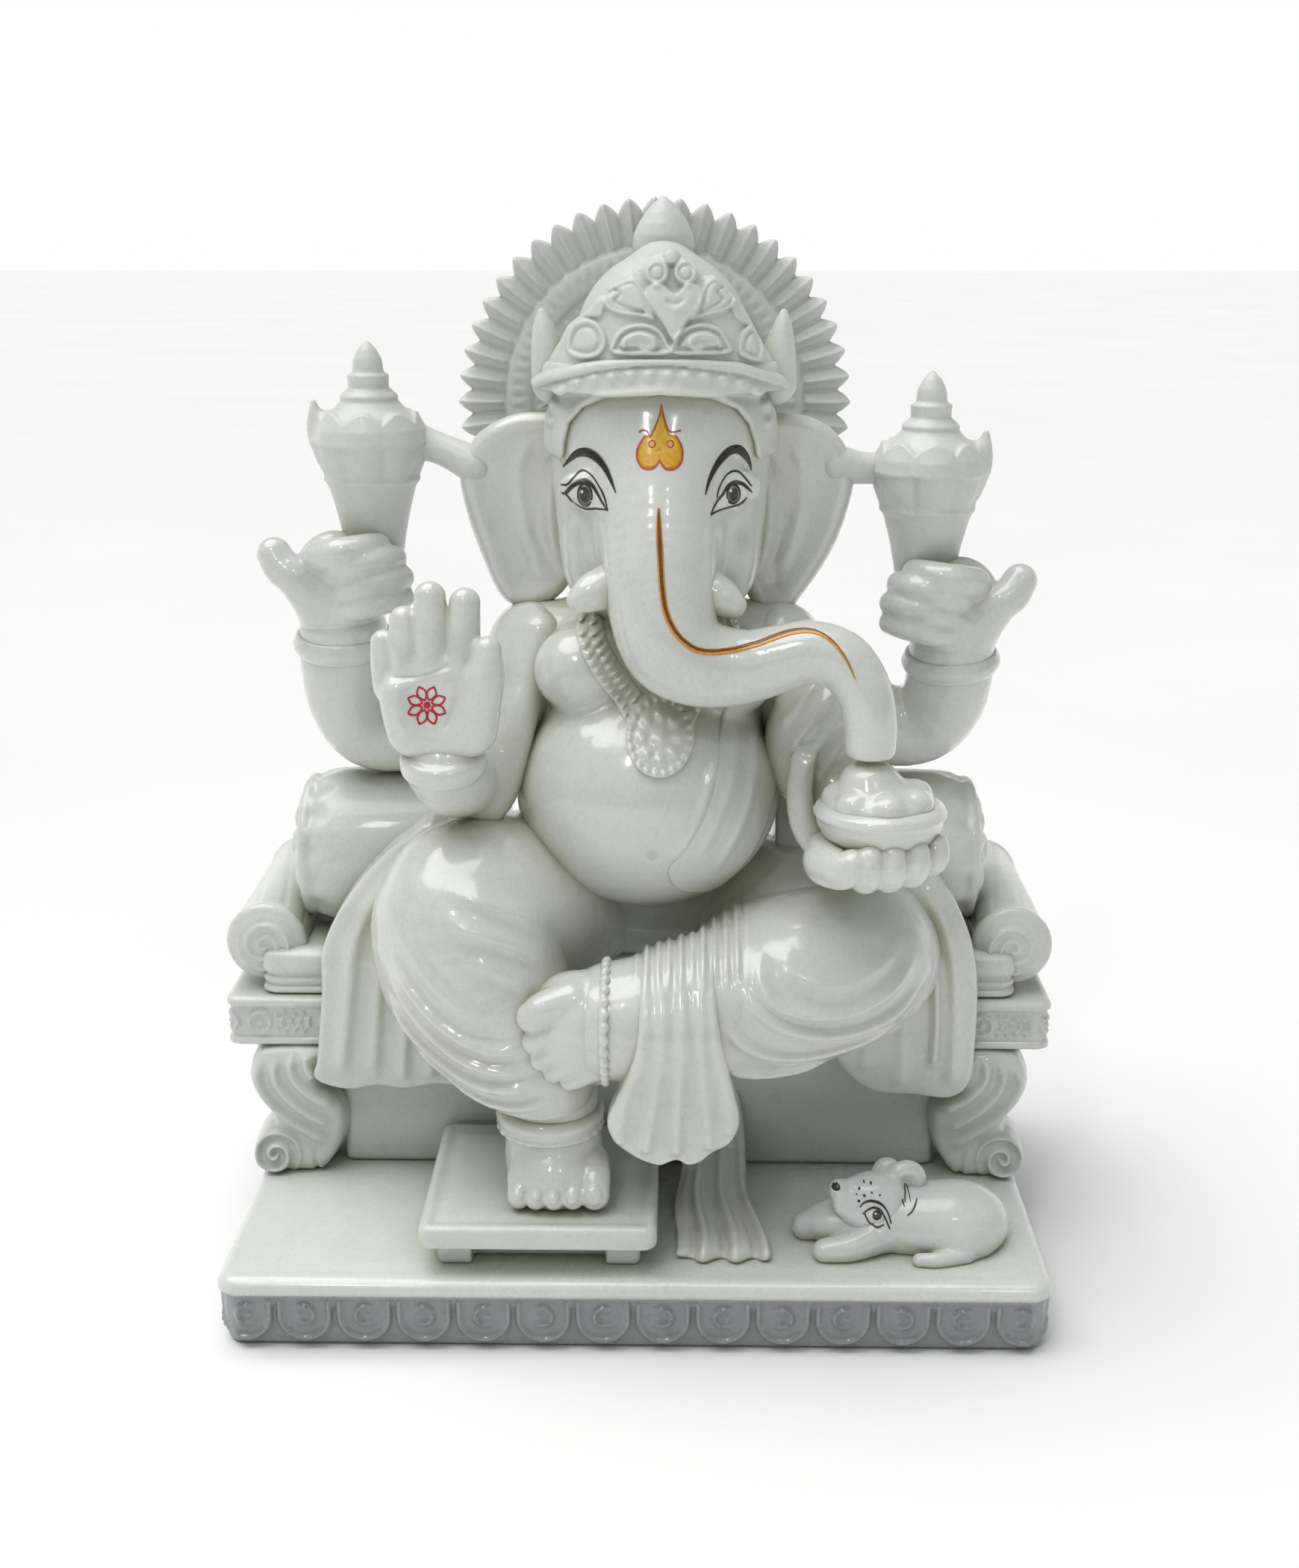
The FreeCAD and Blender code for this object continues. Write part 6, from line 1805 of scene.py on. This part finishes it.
# pale band round the horizon, dimmer above, so the sky models the carving
wt = world.node_tree
wc = wt.nodes.new("ShaderNodeTexCoord")
wsep = wt.nodes.new("ShaderNodeSeparateXYZ")
wside = wt.nodes.new("ShaderNodeValToRGB")
wside.color_ramp.elements[0].position = 0.46
wside.color_ramp.elements[0].color = (0.05, 0.05, 0.055, 1)
wside.color_ramp.elements[1].position = 0.80
wside.color_ramp.elements[1].color = (1.0, 1.0, 1.0, 1)
wfrom = wt.nodes.new("ShaderNodeMapRange")
wfrom.inputs["From Min"].default_value = -1.0
wfrom.inputs["From Max"].default_value = 1.0
wmix = wt.nodes.new("ShaderNodeMix")
wmix.data_type = "RGBA"
wr = wt.nodes.new("ShaderNodeValToRGB")
we = wr.color_ramp.elements
while len(we) < 5:
    we.new(0.5)
for el, (p, v) in zip(we, ((0.0, 0.0), (0.16, 0.0), (0.30, 1.0), (0.75, 1.0), (1.0, 1.0))):
    el.position = p
    el.color = (v, v, v, 1)
wt.links.new(wc.outputs["Generated"], wsep.inputs[0])
wt.links.new(wsep.outputs["Z"], wr.inputs["Fac"])
wt.links.new(wsep.outputs["Y"], wfrom.inputs["Value"])
wt.links.new(wfrom.outputs["Result"], wside.inputs["Fac"])
wt.links.new(wr.outputs["Color"], wmix.inputs[0])
wt.links.new(wside.outputs["Color"], wmix.inputs[6])
wmix.inputs[7].default_value = (0.30, 0.305, 0.31, 1)
wt.links.new(wmix.outputs[2], bg.inputs["Color"])
bg.inputs["Strength"].default_value = 1.0
scene.world = world


def area(name, place, target, size, power, colour=(1, 1, 1), size_y=None):
    li = bpy.data.lights.new(name, "AREA")
    li.shape = "RECTANGLE"
    li.size = size
    li.size_y = size_y or size
    li.energy = power
    li.color = colour
    ob = bpy.data.objects.new(name, li)
    ob.location = place
    ob.rotation_euler = (Vector(target) - Vector(place)).to_track_quat("-Z", "Y").to_euler()
    scene.collection.objects.link(ob)
    return ob


T = (0, 0, 0.16)
sun = bpy.data.objects.new("soft_sun", bpy.data.lights.new("soft_sun", "SUN"))
sun.data.energy = 2.38
sun.data.angle = math.radians(55)
sun.data.color = (1.0, 0.995, 0.98)
sun.rotation_euler = (Vector((0.30, -0.02, -1.0))).to_track_quat("-Z", "Y").to_euler()
scene.collection.objects.link(sun)
area("window_left", (-0.30, -0.85, 1.05), T, 0.10, 1.3, (1, 1, 1), 0.20)
area("window_right", (0.35, -0.95, 1.10), T, 0.07, 0.6, (1, 1, 1), 0.14)

scene.view_settings.view_transform = "Standard"
scene.view_settings.look = "None"
